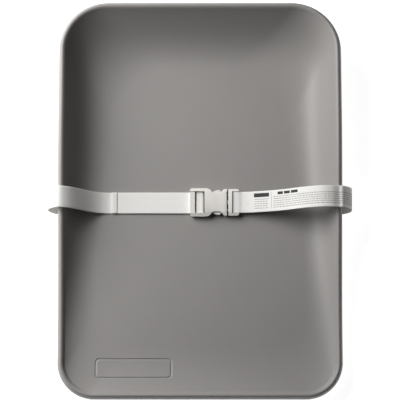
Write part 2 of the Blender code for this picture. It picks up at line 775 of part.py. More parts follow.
def build_plug(look):
    """Male half without its arms: head block, webbing bar and centre guide blade."""
    half_z = PLUG_THICKNESS / 2
    corner = 0.004
    head = [(PLUG_START, PLUG_HALF - PLUG_EDGE), (PLUG_START + PLUG_EDGE, PLUG_HALF)]
    tail = arc((PLUG_BAR[1] - corner, PLUG_HALF - corner), corner, 90, 0, 5)
    outline = mirrored(head + tail)
    bm = prism_mesh(outline, BUCKLE_MID - half_z, BUCKLE_MID + half_z, PLUG_EDGE, 3)
    plug = make_object("buckle_plug", bm, look)
    crown = crown_mesh(PLUG_HALF, half_z, PLUG_START, PLUG_BAR[1])
    cut(plug, [cutter(crown)], "INTERSECT")
    over = 0.002
    bar_half = PLUG_BAR_THICKNESS / 2
    slot = box_mesh(
        (PLUG_BLOCK_END, -RAIL_INNER, BUCKLE_MID - half_z - over),
        (PLUG_BAR[0], RAIL_INNER, BUCKLE_MID + half_z + over),
    )
    above = box_mesh(
        (PLUG_BAR[0] - 0.001, -RAIL_INNER, BUCKLE_MID + bar_half),
        (PLUG_BAR[1] + over, RAIL_INNER, BUCKLE_MID + half_z + over),
    )
    below = box_mesh(
        (PLUG_BAR[0] - 0.001, -RAIL_INNER, BUCKLE_MID - half_z - over),
        (PLUG_BAR[1] + over, RAIL_INNER, BUCKLE_MID - bar_half),
    )
    tools = [slot, above, below]
    seat = PRONG_ROOT_RADIUS + 0.0004
    z_low, z_high = (
        BUCKLE_MID - PRONG_HEIGHT / 2 - 0.0003,
        BUCKLE_MID + PRONG_HEIGHT / 2 + 0.0003,
    )
    for side in (-1, 1):
        tools.append(cylinder_mesh((HINGE_X, side * HINGE_Y), seat, z_low, z_high, 32))
        inner, outer = side * (HINGE_Y - 0.0026), side * (HINGE_Y + 0.0018)
        tools.append(
            box_mesh(
                (PLUG_START - over, min(inner, outer), z_low),
                (HINGE_X, max(inner, outer), z_high),
            )
        )
    cut(plug, [cutter(bm) for bm in tools])
    tip = arc((BLADE_TIP + BLADE_HALF, 0.0), BLADE_HALF, 180, 90, 6)
    blade = prism_mesh(
        mirrored(tip + [(PLUG_START + 0.001, BLADE_HALF)]),
        BUCKLE_MID - PRONG_HEIGHT / 2,
        BUCKLE_MID + PRONG_HEIGHT / 2,
    )
    return cut(plug, [cutter(blade)], "UNION")


def prong_outline(side):
    """Plan of one arm, from its round root to its tip, with the catch tab on the outside."""
    root = (HINGE_X, HINGE_Y)
    shape = [
        (HINGE_X - 0.0012, HINGE_Y + 0.0013),
        *arc(root, PRONG_ROOT_RADIUS, 120, -120, 12),
        (HINGE_X - 0.0012, HINGE_Y - 0.0013),
        (0.0400, 0.0124),
        (0.0260, 0.0132),
        (PRONG_TIP + 0.0012, 0.0146),
        (PRONG_TIP, 0.0156),
        (PRONG_TIP + 0.0004, 0.0168),
        (0.0222, 0.0186),
        (0.0262, PRONG_TAB - 0.0013),
        (0.0295, PRONG_TAB - 0.0002),
        (0.0325, PRONG_TAB),
        (PRONG_SHOULDER - 0.0008, PRONG_TAB),
        (PRONG_SHOULDER, PRONG_TAB - 0.0008),
        (PRONG_SHOULDER + 0.0002, 0.0160),
        (0.0440, 0.0152),
    ]
    return [(x, side * y) for x, y in shape]


def build_prong(name, side, look):
    """One spring arm. Its origin is on the upright line it bends about."""
    outline = prong_outline(side)
    local = [(x - HINGE_X, y - side * HINGE_Y) for x, y in outline]
    half = PRONG_HEIGHT / 2
    prong = make_object(name, prism_mesh(local, -half, half), look)
    prong.location = (HINGE_X, side * HINGE_Y, BUCKLE_MID)
    return prong


# ---- assembly ------------------------------------------------------------------------------
def main():
    for obj in list(bpy.data.objects):
        bpy.data.objects.remove(obj, do_unlink=True)
    foam = material("integral_skin_foam", (0.28, 0.27, 0.26), 0.55)
    webbing = material("woven_webbing", (0.80, 0.80, 0.78), 0.85)
    acetal = material("acetal", (0.72, 0.71, 0.67), 0.40)
    nylon = material("anchor_plate_plastic", (0.20, 0.20, 0.20), 0.55)
    insert = material("insert_plastic", (0.10, 0.10, 0.10), 0.60)
    steel = material("screw_steel", (0.62, 0.62, 0.63), 0.35, 1.0)
    build_tray(foam)
    build_left_webbing(webbing)
    build_right_webbing(webbing)
    build_anchors(nylon, insert, steel)
    build_socket(acetal)
    build_plug(acetal)
    build_prong("buckle_prong_head_side", 1, acetal)
    build_prong("buckle_prong_foot_side", -1, acetal)


main()
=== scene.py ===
"""Looks of a contoured changing pad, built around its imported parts.

A moulded foam tray, a woven belt with a free tail and printed care marks, and a side-release
buckle. Metres; +Z is up, +Y points to the head end, and the origin is the middle of the base.
"""

import math

import bmesh
import bpy
from mathutils import Matrix, Vector


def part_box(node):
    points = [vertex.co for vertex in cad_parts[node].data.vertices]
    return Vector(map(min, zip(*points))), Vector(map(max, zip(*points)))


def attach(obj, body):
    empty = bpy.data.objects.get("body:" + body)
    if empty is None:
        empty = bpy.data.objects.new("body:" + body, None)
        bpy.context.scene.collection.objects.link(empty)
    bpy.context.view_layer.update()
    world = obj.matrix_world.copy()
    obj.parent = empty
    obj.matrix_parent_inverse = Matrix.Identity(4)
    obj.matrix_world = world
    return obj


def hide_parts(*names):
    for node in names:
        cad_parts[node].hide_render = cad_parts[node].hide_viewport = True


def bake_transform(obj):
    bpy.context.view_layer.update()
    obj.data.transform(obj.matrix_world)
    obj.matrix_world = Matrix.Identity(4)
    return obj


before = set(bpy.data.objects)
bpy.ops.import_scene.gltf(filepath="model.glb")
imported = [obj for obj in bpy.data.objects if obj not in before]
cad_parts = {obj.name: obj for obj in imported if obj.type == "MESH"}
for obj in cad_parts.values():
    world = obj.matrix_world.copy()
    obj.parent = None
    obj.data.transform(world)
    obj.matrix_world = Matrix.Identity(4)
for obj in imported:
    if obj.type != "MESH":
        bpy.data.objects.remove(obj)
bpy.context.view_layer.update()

TRAY_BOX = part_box("pad_body")

bl_info = {
    "name": "Changing pad",
    "version": (1, 0, 0),
    "blender": (4, 5, 0),
    "location": "3D View > Sidebar > Changing pad",
    "description": "Builds the looks of a moulded foam changing pad with a webbing belt",
    "category": "Object",
}

# ---- tray section, in metres ---------------------------------------------------------------
CORNER_RADIUS_HEAD = 0.088
CORNER_RADIUS_FOOT = 0.065
BEAD_WIDTH = 0.013
BEAD_DROP = 0.007
BASE_INSET = 0.030
SIDE_WALL_HEAD = 0.088
SIDE_WALL_FOOT = 0.055
HEAD_WALL = 0.092
FOOT_WALL = 0.085
FLOOR_RADIUS_HEAD = 0.105
FLOOR_RADIUS_FOOT = 0.060
RIM_FALL_START = 0.150
RIM_FALL_END = -0.260
WALL_WIDENS = (-0.12, 0.32)  # where the side wall starts to widen along y, and over how far
WALL_STEEPENS = (-0.22, 0.36)  # the same for where it starts to stand up
STEEP_LEAST = 0.12
STEEP_GAIN = 0.60
STEEP_POWER = 5
GENTLE_POWER = 2.3
RING_CROWDING = 1.3
WALL_RINGS = 26
FLOOR_RINGS = 5
SIDE_SEGMENTS = 56
END_SEGMENTS = 30
ARC_SEGMENTS = 22

# ---- pressed-in frame in the dish ----------------------------------------------------------
FRAME_CENTRE = (-0.1165, -0.2950)
FRAME_SIZE = (0.132, 0.033)
FRAME_RADIUS = 0.006
FRAME_GROOVE = 0.0022
FRAME_DEPTH = 0.0012

# ---- belt, in metres -----------------------------------------------------------------------
WEBBING_THICKNESS = 0.0015
GAP = 0.0003
LAYER_STEP = WEBBING_THICKNESS + GAP
LOOP_REACH = 0.268
TAIL_END = 0.157
HEM_LENGTH = 0.0075
LOOP_END_RUN = 0.045  # the turned-back end under the right belt is shorter than this
ANCHOR_X = 0.172
ANCHOR_BELT_Z = 0.00635
CLAMP_SIZE = (0.040, 0.060)
BACKING_SIZE = (0.050, 0.072)
POCKET_TOP = 0.0122
BACKING_Z = 0.0089
CHANNEL_TOP = 0.00825
CHANNEL_HALF = 0.022

# ---- buckle, in metres ---------------------------------------------------------------------
BUCKLE_MID = 0.0270
BUCKLE_THICKNESS = 0.0130
ADJUSTER_END = -0.0175
BODY_START = 0.0080
CAVITY_START = 0.0125
COLLAR_START = 0.0430
MOUTH = 0.0480
SOCKET_HALF = 0.0255
CREST_HALF = 0.0180
EDGE_HALF_HEIGHT = 0.0034
COLLAR_HALF = 0.0240
WAIST_HALF = 0.0176
RAIL_CLEARANCE = 0.0006
EDGE_SOFTNESS = 0.0004
CAVITY_HALF = 0.0225
MOUTH_HALF = 0.0212
CAVITY_HEIGHT = 0.0074
ARM_HALF_HEIGHT = (CAVITY_HEIGHT - 0.0008) / 2
CUT_OVER = 0.002
END_BAR = (-0.0175, -0.0090)
LOCK_BAR = (-0.0055, 0.0045)
BAR_ROUND = 0.0014
PLUG_START = 0.0505
PLUG_BLOCK_END = 0.0572
PLUG_BAR = (0.0602, 0.0695)
PLUG_HALF = 0.0240
PLUG_THICKNESS = 0.0114
PLUG_EDGE = 0.0012
PLUG_BAR_THICKNESS = 0.0036
BLADE_TIP = 0.0290
BLADE_HALF = 0.0035
HINGE_X = 0.0530
HINGE_Y = 0.0135
PRONG_TIP = 0.0190
PRONG_TAB = 0.0222
PRONG_SHOULDER = 0.0363
PRONG_ROOT_RADIUS = 0.0018


# ---- sizes and colours a user would change -------------------------------------------------
def length_size(name, description, default):
    return bpy.props.FloatProperty(
        name=name, description=description, default=default, unit="LENGTH"
    )


def hex_setting(name, description, default):
    return bpy.props.StringProperty(
        name=name, description=f"{description}, as sRGB hex", default=default
    )


class ChangingPadSizes(bpy.types.PropertyGroup):
    width: length_size(
        "Pad width", "Across the pad, over the rim", TRAY_BOX[1][0] - TRAY_BOX[0][0]
    )
    length: length_size(
        "Pad length", "From the foot rim to the head rim", TRAY_BOX[1][1] - TRAY_BOX[0][1]
    )
    rim_head: length_size(
        "Rim height at the head",
        "Height of the rim round the head and upper sides",
        TRAY_BOX[1][2],
    )
    rim_foot: length_size(
        "Rim height at the foot", "Height of the lower rim at the foot end", 0.039
    )
    floor: length_size("Foam under the dish", "Thickness of the foam under the dish floor", 0.020)
    webbing: length_size("Webbing width", "Width of the belt", 0.038)
    rib: length_size(
        "Webbing rib spacing", "Distance between the lengthwise ribs of the weave", 0.0021
    )
    grain: length_size(
        "Foam skin grain", "Size of the fine grain that the mould leaves on the foam's skin", 0.0014
    )


class ChangingPadColours(bpy.types.PropertyGroup):
    foam: hex_setting("Foam", "Colour of the foam", "#928F8D")
    webbing: hex_setting("Webbing", "Colour of the belt", "#EFEEEB")
    acetal: hex_setting("Buckle", "Colour of the buckle", "#E2DFD9")
    ink: hex_setting("Care marks", "Colour of the heavy marks", "#2C2B2C")
    fine_ink: hex_setting("Fine marks", "Colour of the fine marks", "#9B9A98")
    floor: hex_setting("Studio floor", "Colour of the floor", "#FFFFFF")


def sizes():
    return bpy.context.scene.changing_pad_sizes


def colours():
    return bpy.context.scene.changing_pad_colours


# ---- materials -----------------------------------------------------------------------------
def linear(hex_colour):
    """sRGB hex to linear red, green, blue and alpha."""
    values = [int(hex_colour[k : k + 2], 16) / 255 for k in (1, 3, 5)]
    turned = [v / 12.92 if v <= 0.04045 else ((v + 0.055) / 1.055) ** 2.4 for v in values]
    return (*turned, 1.0)


def add_node(tree, kind, inputs=None, **settings):
    """A shader node with its settings; an input's value is a constant or another's output."""
    made = tree.nodes.new(kind)
    for name, value in settings.items():
        setattr(made, name, value)
    for name, value in (inputs or {}).items():
        if isinstance(value, bpy.types.NodeSocket):
            tree.links.new(value, made.inputs[name])
        else:
            made.inputs[name].default_value = value
    return made


def start_material(name, hex_colour, roughness, metallic=0.0, ior=1.5):
    made = bpy.data.materials.new(name)
    made.use_nodes = True
    shader = made.node_tree.nodes["Principled BSDF"]
    shader.inputs["Base Color"].default_value = linear(hex_colour)
    shader.inputs["Roughness"].default_value = roughness
    shader.inputs["Metallic"].default_value = metallic
    shader.inputs["IOR"].default_value = ior
    return made, made.node_tree, shader


def foam_material():
    """Moulded polyurethane integral-skin foam: a soft satin skin with a fine, even grain."""
    made, tree, shader = start_material(
        "moulded PU integral-skin foam", colours().foam, 0.50, ior=1.46
    )
    place = add_node(tree, "ShaderNodeTexCoord")
    cloudy = add_node(
        tree,
        "ShaderNodeTexNoise",
        {"Vector": place.outputs["Object"], "Scale": 22.0, "Detail": 3.0, "Roughness": 0.6},
    )
    shade = add_node(
        tree,
        "ShaderNodeMapRange",
        {"Value": cloudy.outputs["Fac"], "To Min": 0.97, "To Max": 1.03},
    )
    tint = add_node(
        tree,
        "ShaderNodeVectorMath",
        {0: linear(colours().foam)[:3], "Scale": shade.outputs["Result"]},
        operation="SCALE",
    )
    tree.links.new(tint.outputs["Vector"], shader.inputs["Base Color"])
    grain = add_node(
        tree,
        "ShaderNodeTexNoise",
        {"Vector": place.outputs["Object"], "Scale": 1 / sizes().grain, "Detail": 2.0},
    )
    bump = add_node(
        tree,
        "ShaderNodeBump",
        {"Height": grain.outputs["Fac"], "Strength": 0.18, "Distance": 0.0002},
    )
    tree.links.new(bump.outputs["Normal"], shader.inputs["Normal"])
    return made


def webbing_material():
    """Woven polyester webbing: matt, with lengthwise ribs crossed by fine picks, and painted shade
    darkening the colour in the grooves between them.
    """
    made, tree, shader = start_material("woven polyester webbing", colours().webbing, 0.82)
    place = add_node(tree, "ShaderNodeUVMap", uv_map="weave")
    split = add_node(tree, "ShaderNodeSeparateXYZ", {"Vector": place.outputs["UV"]})
    ribs = wave(tree, split.outputs["Y"], sizes().rib)
    picks = wave(tree, split.outputs["X"], sizes().rib * 0.55)
    weave = add_node(tree, "ShaderNodeMath", {0: ribs, 1: picks}, operation="MULTIPLY")
    relief = add_node(
        tree,
        "ShaderNodeMath",
        {0: weave.outputs["Value"], 1: 0.5, 2: ribs},
        operation="MULTIPLY_ADD",
    )
    # painted shade: the webbing's colour falls to 0.9 of itself where the weave's relief is low, in the
    # grooves
    shade = add_node(
        tree,
        "ShaderNodeMapRange",
        {"Value": relief.outputs["Value"], "From Max": 1.5, "To Min": 0.90, "To Max": 1.0},
    )
    tint = add_node(
        tree,
        "ShaderNodeVectorMath",
        {0: linear(colours().webbing)[:3], "Scale": shade.outputs["Result"]},
        operation="SCALE",
    )
    tree.links.new(tint.outputs["Vector"], shader.inputs["Base Color"])
    bump = add_node(
        tree,
        "ShaderNodeBump",
        {"Height": relief.outputs["Value"], "Strength": 0.35, "Distance": 0.0002},
    )
    tree.links.new(bump.outputs["Normal"], shader.inputs["Normal"])
    shader.inputs["Sheen Weight"].default_value = 0.15
    return made


def wave(tree, value, spacing):
    """A smooth ripple from 0 to 1 with one crest in each spacing."""
    turns = add_node(
        tree, "ShaderNodeMath", {0: value, 1: 2 * math.pi / spacing}, operation="MULTIPLY"
    )
    ripple = add_node(tree, "ShaderNodeMath", {0: turns.outputs["Value"]}, operation="SINE")
    return add_node(
        tree,
        "ShaderNodeMapRange",
        {"Value": ripple.outputs["Value"], "From Min": -1.0, "From Max": 1.0},
    ).outputs["Result"]


def acetal_material():
    """Injection-moulded acetal (POM): dense, faintly waxy, with a fine spark-eroded texture."""
    made, tree, shader = start_material("moulded acetal", colours().acetal, 0.38, ior=1.48)
    place = add_node(tree, "ShaderNodeTexCoord")
    texture = add_node(
        tree,
        "ShaderNodeTexNoise",
        {"Vector": place.outputs["Object"], "Scale": 1500.0, "Detail": 2.0},
    )
    bump = add_node(
        tree,
        "ShaderNodeBump",
        {"Height": texture.outputs["Fac"], "Strength": 0.06, "Distance": 0.0002},
    )
    tree.links.new(bump.outputs["Normal"], shader.inputs["Normal"])
    return made


def ink_material(name, hex_colour):
    """Screen-printed ink: flat, thin and matt on the webbing."""
    return start_material(name, hex_colour, 0.75)[0]


def thread_material():
    """Bonded polyester sewing thread: a soft sheen along each stitch."""
    made, _, shader = start_material("bonded polyester thread", "#E4E3DF", 0.6)
    shader.inputs["Sheen Weight"].default_value = 0.2
    return made


def cloud_roughness(tree, shader, scale, detail, limits):
    """Lets the roughness drift between two limits in soft clouds."""
    place = add_node(tree, "ShaderNodeTexCoord")
    cloudy = add_node(
        tree,
        "ShaderNodeTexNoise",
        {"Vector": place.outputs["Object"], "Scale": scale, "Detail": detail},
    )
    rough = add_node(
        tree,
        "ShaderNodeMapRange",
        {"Value": cloudy.outputs["Fac"], "To Min": limits[0], "To Max": limits[1]},
    )
    tree.links.new(rough.outputs["Result"], shader.inputs["Roughness"])


def plate_material(name, hex_colour, roughness):
    """Moulded glass-filled nylon: matt, with a faint cloudiness from the filler."""
    made, tree, shader = start_material(name, hex_colour, roughness, ior=1.53)
    cloud_roughness(tree, shader, 400.0, 3.0, (roughness - 0.08, roughness + 0.08))
    return made


def steel_material():
    """Zinc-plated steel: a cool, slightly cloudy metal."""
    made, tree, shader = start_material("zinc-plated steel", "#C9CBCD", 0.34, metallic=1.0)
    cloud_roughness(tree, shader, 900.0, 2.0, (0.26, 0.42))
    return made


# ---- mesh helpers --------------------------------------------------------------------------
def finish_piece(name, bm, look, sharp_degrees=40.0):
    """An object at the origin from a bmesh in world space, smooth but for its real edges."""
    bmesh.ops.recalc_face_normals(bm, faces=bm.faces)
    mesh = bpy.data.meshes.new(name)
    bm.to_mesh(mesh)
    bm.free()
    if look:
        mesh.materials.append(look)
    for face in mesh.polygons:
        face.use_smooth = True
    mesh.set_sharp_from_angle(angle=math.radians(sharp_degrees))
    obj = bpy.data.objects.new(name, mesh)
    bpy.context.scene.collection.objects.link(obj)
    return obj


def cut(obj, tools, operation="DIFFERENCE", sharp_degrees=40.0):
    """Applies one exact Boolean per tool mesh, then marks the sharp edges again."""
    for bm in tools:
        tool = finish_piece("tool", bm, None)
        modifier = obj.modifiers.new("cut", "BOOLEAN")
        modifier.operation = operation
        modifier.solver = "EXACT"
        modifier.object = tool
        graph = bpy.context.evaluated_depsgraph_get()
        mesh = bpy.data.meshes.new_from_object(obj.evaluated_get(graph))
        obj.modifiers.clear()
        old, used = obj.data, tool.data
        obj.data = mesh
        mesh.name = obj.name
        bpy.data.objects.remove(tool)
        bpy.data.meshes.remove(old)
        bpy.data.meshes.remove(used)
    obj.data.set_sharp_from_angle(angle=math.radians(sharp_degrees))
    return obj


def soften(obj, width, segments=2, angle=35.0):
    """Rounds the edges that moulding leaves round."""
    modifier = obj.modifiers.new("round edges", "BEVEL")
    modifier.width = width
    modifier.segments = segments
    modifier.limit_method = "ANGLE"
    modifier.angle_limit = math.radians(angle)
    modifier.harden_normals = True
    return obj


def sweep(rings):
    """Extrudes a closed loop through rings of points; returns the bmesh and its vertex rows."""
    bm = bmesh.new()
    count = len(rings[0])
    bmesh.ops.create_circle(bm, segments=count, radius=1.0)
    row = list(bm.verts)
    edges = list(bm.edges)
    for vert, point in zip(row, rings[0]):
        vert.co = point
    rows = [row]
    first_edges = edges
    for ring in rings[1:]:
        pulled = bmesh.ops.extrude_edge_only(bm, edges=edges)["geom"]
        new = {item for item in pulled if isinstance(item, bmesh.types.BMVert)}
        edges = [
            item
            for item in pulled
            if isinstance(item, bmesh.types.BMEdge) and all(v in new for v in item.verts)
        ]
        row = [
            next(e.other_vert(v) for e in v.link_edges if e.other_vert(v) in new) for v in row
        ]
        for vert, point in zip(row, ring):
            vert.co = point
        rows.append(row)
    bmesh.ops.edgeloop_fill(bm, edges=first_edges)
    bmesh.ops.edgeloop_fill(bm, edges=edges)
    return bm, rows


def box_mesh(low, high):
    bm = bmesh.new()
    middle = (Vector(high) + Vector(low)) / 2
    size = Vector(high) - Vector(low)
    matrix = Matrix.Translation(middle) @ Matrix.Diagonal((*size, 1.0))
    bmesh.ops.create_cube(bm, size=1.0, matrix=matrix)
    return bm


def cylinder_mesh(centre, radius, low, high):
    bm = bmesh.new()
    bmesh.ops.create_cone(
        bm,
        cap_ends=True,
        segments=32,
        radius1=radius,
        radius2=radius,
        depth=high - low,
        matrix=Matrix.Translation((centre[0], centre[1], (low + high) / 2)),
    )
    return bm


def prism_mesh(outline, low, high, bevel=0.0, segments=4):
    """An (x, y) outline pulled up, with rounded end edges."""
    bm = bmesh.new()
    bmesh.ops.create_circle(bm, segments=len(outline), radius=1.0, cap_ends=True)
    for vert, (x, y) in zip(bm.verts, outline):
        vert.co = (x, y, low)
    pulled = bmesh.ops.extrude_face_region(bm, geom=list(bm.faces))["geom"]
    top = [item for item in pulled if isinstance(item, bmesh.types.BMVert)]
    bmesh.ops.translate(bm, verts=top, vec=(0, 0, high - low))
    bmesh.ops.recalc_face_normals(bm, faces=bm.faces)
    if bevel:
        rims = [e for e in bm.edges if abs(e.verts[0].co.z - e.verts[1].co.z) < 1e-7]
        bmesh.ops.bevel(
            bm,
            geom=rims,
            offset=bevel,
            offset_type="OFFSET",
            affect="EDGES",
            segments=segments,
            profile=0.5,
            material=-1,
            clamp_overlap=True,
        )
    return bm


def arc(centre, radius, start, end, steps):
    """Points on a circle from one angle to another in degrees, both ends included."""
    angles = [math.radians(start + (end - start) * k / steps) for k in range(steps + 1)]
    return [
        (centre[0] + radius * math.cos(a), centre[1] + radius * math.sin(a)) for a in angles
    ]


def ease(value):
    """0 to 1 with level ends."""
    value = min(max(value, 0.0), 1.0)
    return value * value * (3 - 2 * value)


# ---- tray ----------------------------------------------------------------------------------
def rim_height(y):
    """Level round the head and along the sides, then falling towards the foot."""
    rise = ease((y - RIM_FALL_END) / (RIM_FALL_START - RIM_FALL_END))
    return sizes().rim_foot + (sizes().rim_head - sizes().rim_foot) * rise


def share_along(y, stretch):
    """0 before a stretch of the tray's length, 1 beyond it, and eased between."""
    start, length = stretch
    return ease((y - start) / length)


def side_wall_width(y):
    """The side walls are broad beside the head and narrow beside the legs."""
    return SIDE_WALL_FOOT + (SIDE_WALL_HEAD - SIDE_WALL_FOOT) * share_along(y, WALL_WIDENS)


def steepness(y):
    """Share of the side wall's height that stands up steeply close under the rim."""
    return STEEP_LEAST + STEEP_GAIN * share_along(y, WALL_STEEPENS)


def outline_stations(half_x, y_head, y_foot, radius_head, radius_foot):
    """One ring of the tray: (x, y, side) where side is 1 on a long side and 0 on an end."""
    ring = []

    def line(start, end, steps, side):
        for k in range(steps):
            t = k / steps
            x = start[0] + (end[0] - start[0]) * t
            y = start[1] + (end[1] - start[1]) * t
            ring.append((x, y, side))

    def corner(centre, radius, start, from_side):
        for k, (x, y) in enumerate(arc(centre, radius, start, start + 90, ARC_SEGMENTS)):
            t = ease(k / ARC_SEGMENTS)
            if k < ARC_SEGMENTS:
                ring.append((x, y, 1 - t if from_side else t))

    head_y, foot_y = y_head - radius_head, y_foot + radius_foot
    head_x, foot_x = half_x - radius_head, half_x - radius_foot
    line((half_x, foot_y), (half_x, head_y), SIDE_SEGMENTS, 1.0)
    corner((head_x, head_y), radius_head, 0, True)
    line((head_x, y_head), (-head_x, y_head), END_SEGMENTS, 0.0)
    corner((-head_x, head_y), radius_head, 90, False)
    line((-half_x, head_y), (-half_x, foot_y), SIDE_SEGMENTS, 1.0)
    corner((-foot_x, foot_y), radius_foot, 180, True)
    line((-foot_x, y_foot), (foot_x, y_foot), END_SEGMENTS, 0.0)
    corner((foot_x, foot_y), radius_foot, 270, False)
    return ring


def outer_ring(inset, height):
    """A ring of the outside, moved in from the outline; height gives z from the rim's z."""
    ring = outline_stations(
        sizes().width / 2 - inset,
        sizes().length / 2 - inset,
        -sizes().length / 2 + inset,
        CORNER_RADIUS_HEAD - inset,
        CORNER_RADIUS_FOOT - inset,
    )
    return [(x, y, height(rim_height(y))) for x, y, _ in ring]


def wall_ring(t, rim_ring):
    """A ring of the inside wall: t is 0 under the bead and 1 where the floor begins."""
    half_x = sizes().width / 2 - BEAD_WIDTH
    half_y = sizes().length / 2 - BEAD_WIDTH
    middle_width = side_wall_width(0.0)
    start_head = CORNER_RADIUS_HEAD - BEAD_WIDTH
    start_foot = CORNER_RADIUS_FOOT - BEAD_WIDTH
    ring = outline_stations(
        half_x - t * middle_width,
        half_y - t * HEAD_WALL,
        -half_y + t * FOOT_WALL,
        start_head + (FLOOR_RADIUS_HEAD - start_head) * t,
        start_foot + (FLOOR_RADIUS_FOOT - start_foot) * t,
    )
    points = []
    for (x, y, side), (_, rim_y, _) in zip(ring, rim_ring):
        narrowed = (half_x - t * side_wall_width(y)) / (half_x - t * middle_width)
        drop = rim_height(rim_y) - BEAD_DROP - sizes().floor
        steep = side * steepness(rim_y)
        share = steep * (1 - t) ** STEEP_POWER + (1 - steep) * (1 - t) ** GENTLE_POWER
        points.append((x * narrowed, y, sizes().floor + drop * share))
    return points


# Round foot of the outside, up from the flat base: distance out from the base's edge, height.
FOOT_ROUND = ((0.0, 0.0), (0.0025, 0.0003), (0.0045, 0.0012), (0.0060, 0.0025), (0.0070, 0.0040))
# Bead rolled over the rim: distance in from the outline, depth below the rim's top.
BEAD_ROUND = (
    (0.0035, 0.0220),
    (0.0020, 0.0190),
    (0.0009, 0.0160),
    (0.0002, 0.0130),
    (0.0000, 0.0105),
    (0.0003, 0.0080),
    (0.0011, 0.0054),
    (0.0022, 0.0031),
    (0.0036, 0.0014),
    (0.0050, 0.0004),
    (0.0065, 0.0),
    (0.0080, 0.0004),
    (0.0095, 0.0014),
    (0.0108, 0.0029),
    (0.0119, 0.0047),
)
OUTSIDE_STEPS = 8
OUTSIDE_CURVE = 0.9


def bead_section():
    """(inset, height rule) pairs from the base's edge, up the outside and over the rim."""
    section = [(BASE_INSET - out, lambda h, z=z: z) for out, z in FOOT_ROUND]
    low, foot_z = BASE_INSET - FOOT_ROUND[-1][0], FOOT_ROUND[-1][1]
    high, bead_depth = BEAD_ROUND[0]
    for k in range(1, OUTSIDE_STEPS):
        t = k / OUTSIDE_STEPS
        share = t ** OUTSIDE_CURVE
        section.append(
            (
                low + (high - low) * t,
                lambda h, share=share: foot_z + (h - bead_depth - foot_z) * share,
            )
        )
    return section + [(inset, lambda h, depth=depth: h - depth) for inset, depth in BEAD_ROUND]


def frame_distance(x, y):
    """Distance from the line of the pressed-in frame, a rectangle with round corners."""
    dx = abs(x - FRAME_CENTRE[0]) - (FRAME_SIZE[0] / 2 - FRAME_RADIUS)
    dy = abs(y - FRAME_CENTRE[1]) - (FRAME_SIZE[1] / 2 - FRAME_RADIUS)
    outside = math.hypot(max(dx, 0.0), max(dy, 0.0)) + min(max(dx, dy), 0.0)
    return abs(outside - FRAME_RADIUS)


def press_frame(bm):
    """Refines the dish along the frame's line and presses a smooth groove into it."""
    reach = 0.005
    for _ in range(3):
        near = set()
        for face in bm.faces:
            middle = face.calc_center_median()
            if face.normal.z < 0.3 or middle.z < 0.5 * sizes().floor:
                continue
            size = max(e.calc_length() for e in face.edges)
            if frame_distance(middle.x, middle.y) < reach + size * 0.7 and size > 0.0012:
                near.update(face.edges)
        in_order = [edge for edge in bm.edges if edge in near]
        bmesh.ops.subdivide_edges(bm, edges=in_order, cuts=1, use_grid_fill=True, smooth=0.0)
        bm.normal_update()
        reach = 0.0035
    for vert in bm.verts:
        away = frame_distance(vert.co.x, vert.co.y) / (FRAME_GROOVE * 0.75)
        if away < 1 and vert.co.z > 0.5 * sizes().floor:
            vert.co.z -= FRAME_DEPTH * ease(1 - away)
    return bm


def tray_mesh():
    """The moulding as one closed skin: base, outside, bead, walls and dish floor."""
    rings = [outer_ring(inset, height) for inset, height in bead_section()]
    rim_ring = outline_stations(
        sizes().width / 2 - BEAD_WIDTH,
        sizes().length / 2 - BEAD_WIDTH,
        -sizes().length / 2 + BEAD_WIDTH,
        CORNER_RADIUS_HEAD - BEAD_WIDTH,
        CORNER_RADIUS_FOOT - BEAD_WIDTH,
    )
    for k in range(WALL_RINGS + 1):
        rings.append(wall_ring((k / WALL_RINGS) ** RING_CROWDING, rim_ring))
    floor_edge = rings[-1]
    middle_y = (max(p[1] for p in floor_edge) + min(p[1] for p in floor_edge)) / 2
    for k in range(1, FLOOR_RINGS + 1):
        share = 1 - k / (FLOOR_RINGS + 1)
        rings.append(
            [(x * share, middle_y + (y - middle_y) * share, z) for x, y, z in floor_edge]
        )
    bm, _ = sweep(rings)
    bmesh.ops.recalc_face_normals(bm, faces=bm.faces)
    return press_frame(bm)


def anchor_hollows(side):
    """Strap pocket, recess for the moulded-in plate and strap channel, under one side."""
    half_x, half_y = CLAMP_SIZE[0] / 2 + 0.0005, CLAMP_SIZE[1] / 2 + 0.0005
    wide_x, wide_y = BACKING_SIZE[0] / 2 + GAP, BACKING_SIZE[1] / 2 + GAP
    middle, outer = side * ANCHOR_X, side * (sizes().width / 2 - 0.008)
    return [
        box_mesh((middle - half_x, -half_y, -0.002), (middle + half_x, half_y, BACKING_Z)),
        box_mesh(
            (middle - wide_x, -wide_y, BACKING_Z - GAP), (middle + wide_x, wide_y, POCKET_TOP)
        ),
        box_mesh(
            (min(middle, outer), -CHANNEL_HALF, -0.003),
            (max(middle, outer), CHANNEL_HALF, CHANNEL_TOP),
        ),
    ]


class MouldTray(bpy.types.Operator):
    """Moulds the foam tray with its rim, dish, pressed-in frame and strap recesses"""

    bl_idname = "changing_pad.mould_tray"
    bl_label = "Mould the foam tray"

    def execute(self, context):
        tray = finish_piece("foam_tray", tray_mesh(), foam_material(), 60.0)
        for side in (-1, 1):
            cut(tray, anchor_hollows(side), sharp_degrees=50.0)
        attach(tray, "pad")
        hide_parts("pad_body")
        return {"FINISHED"}


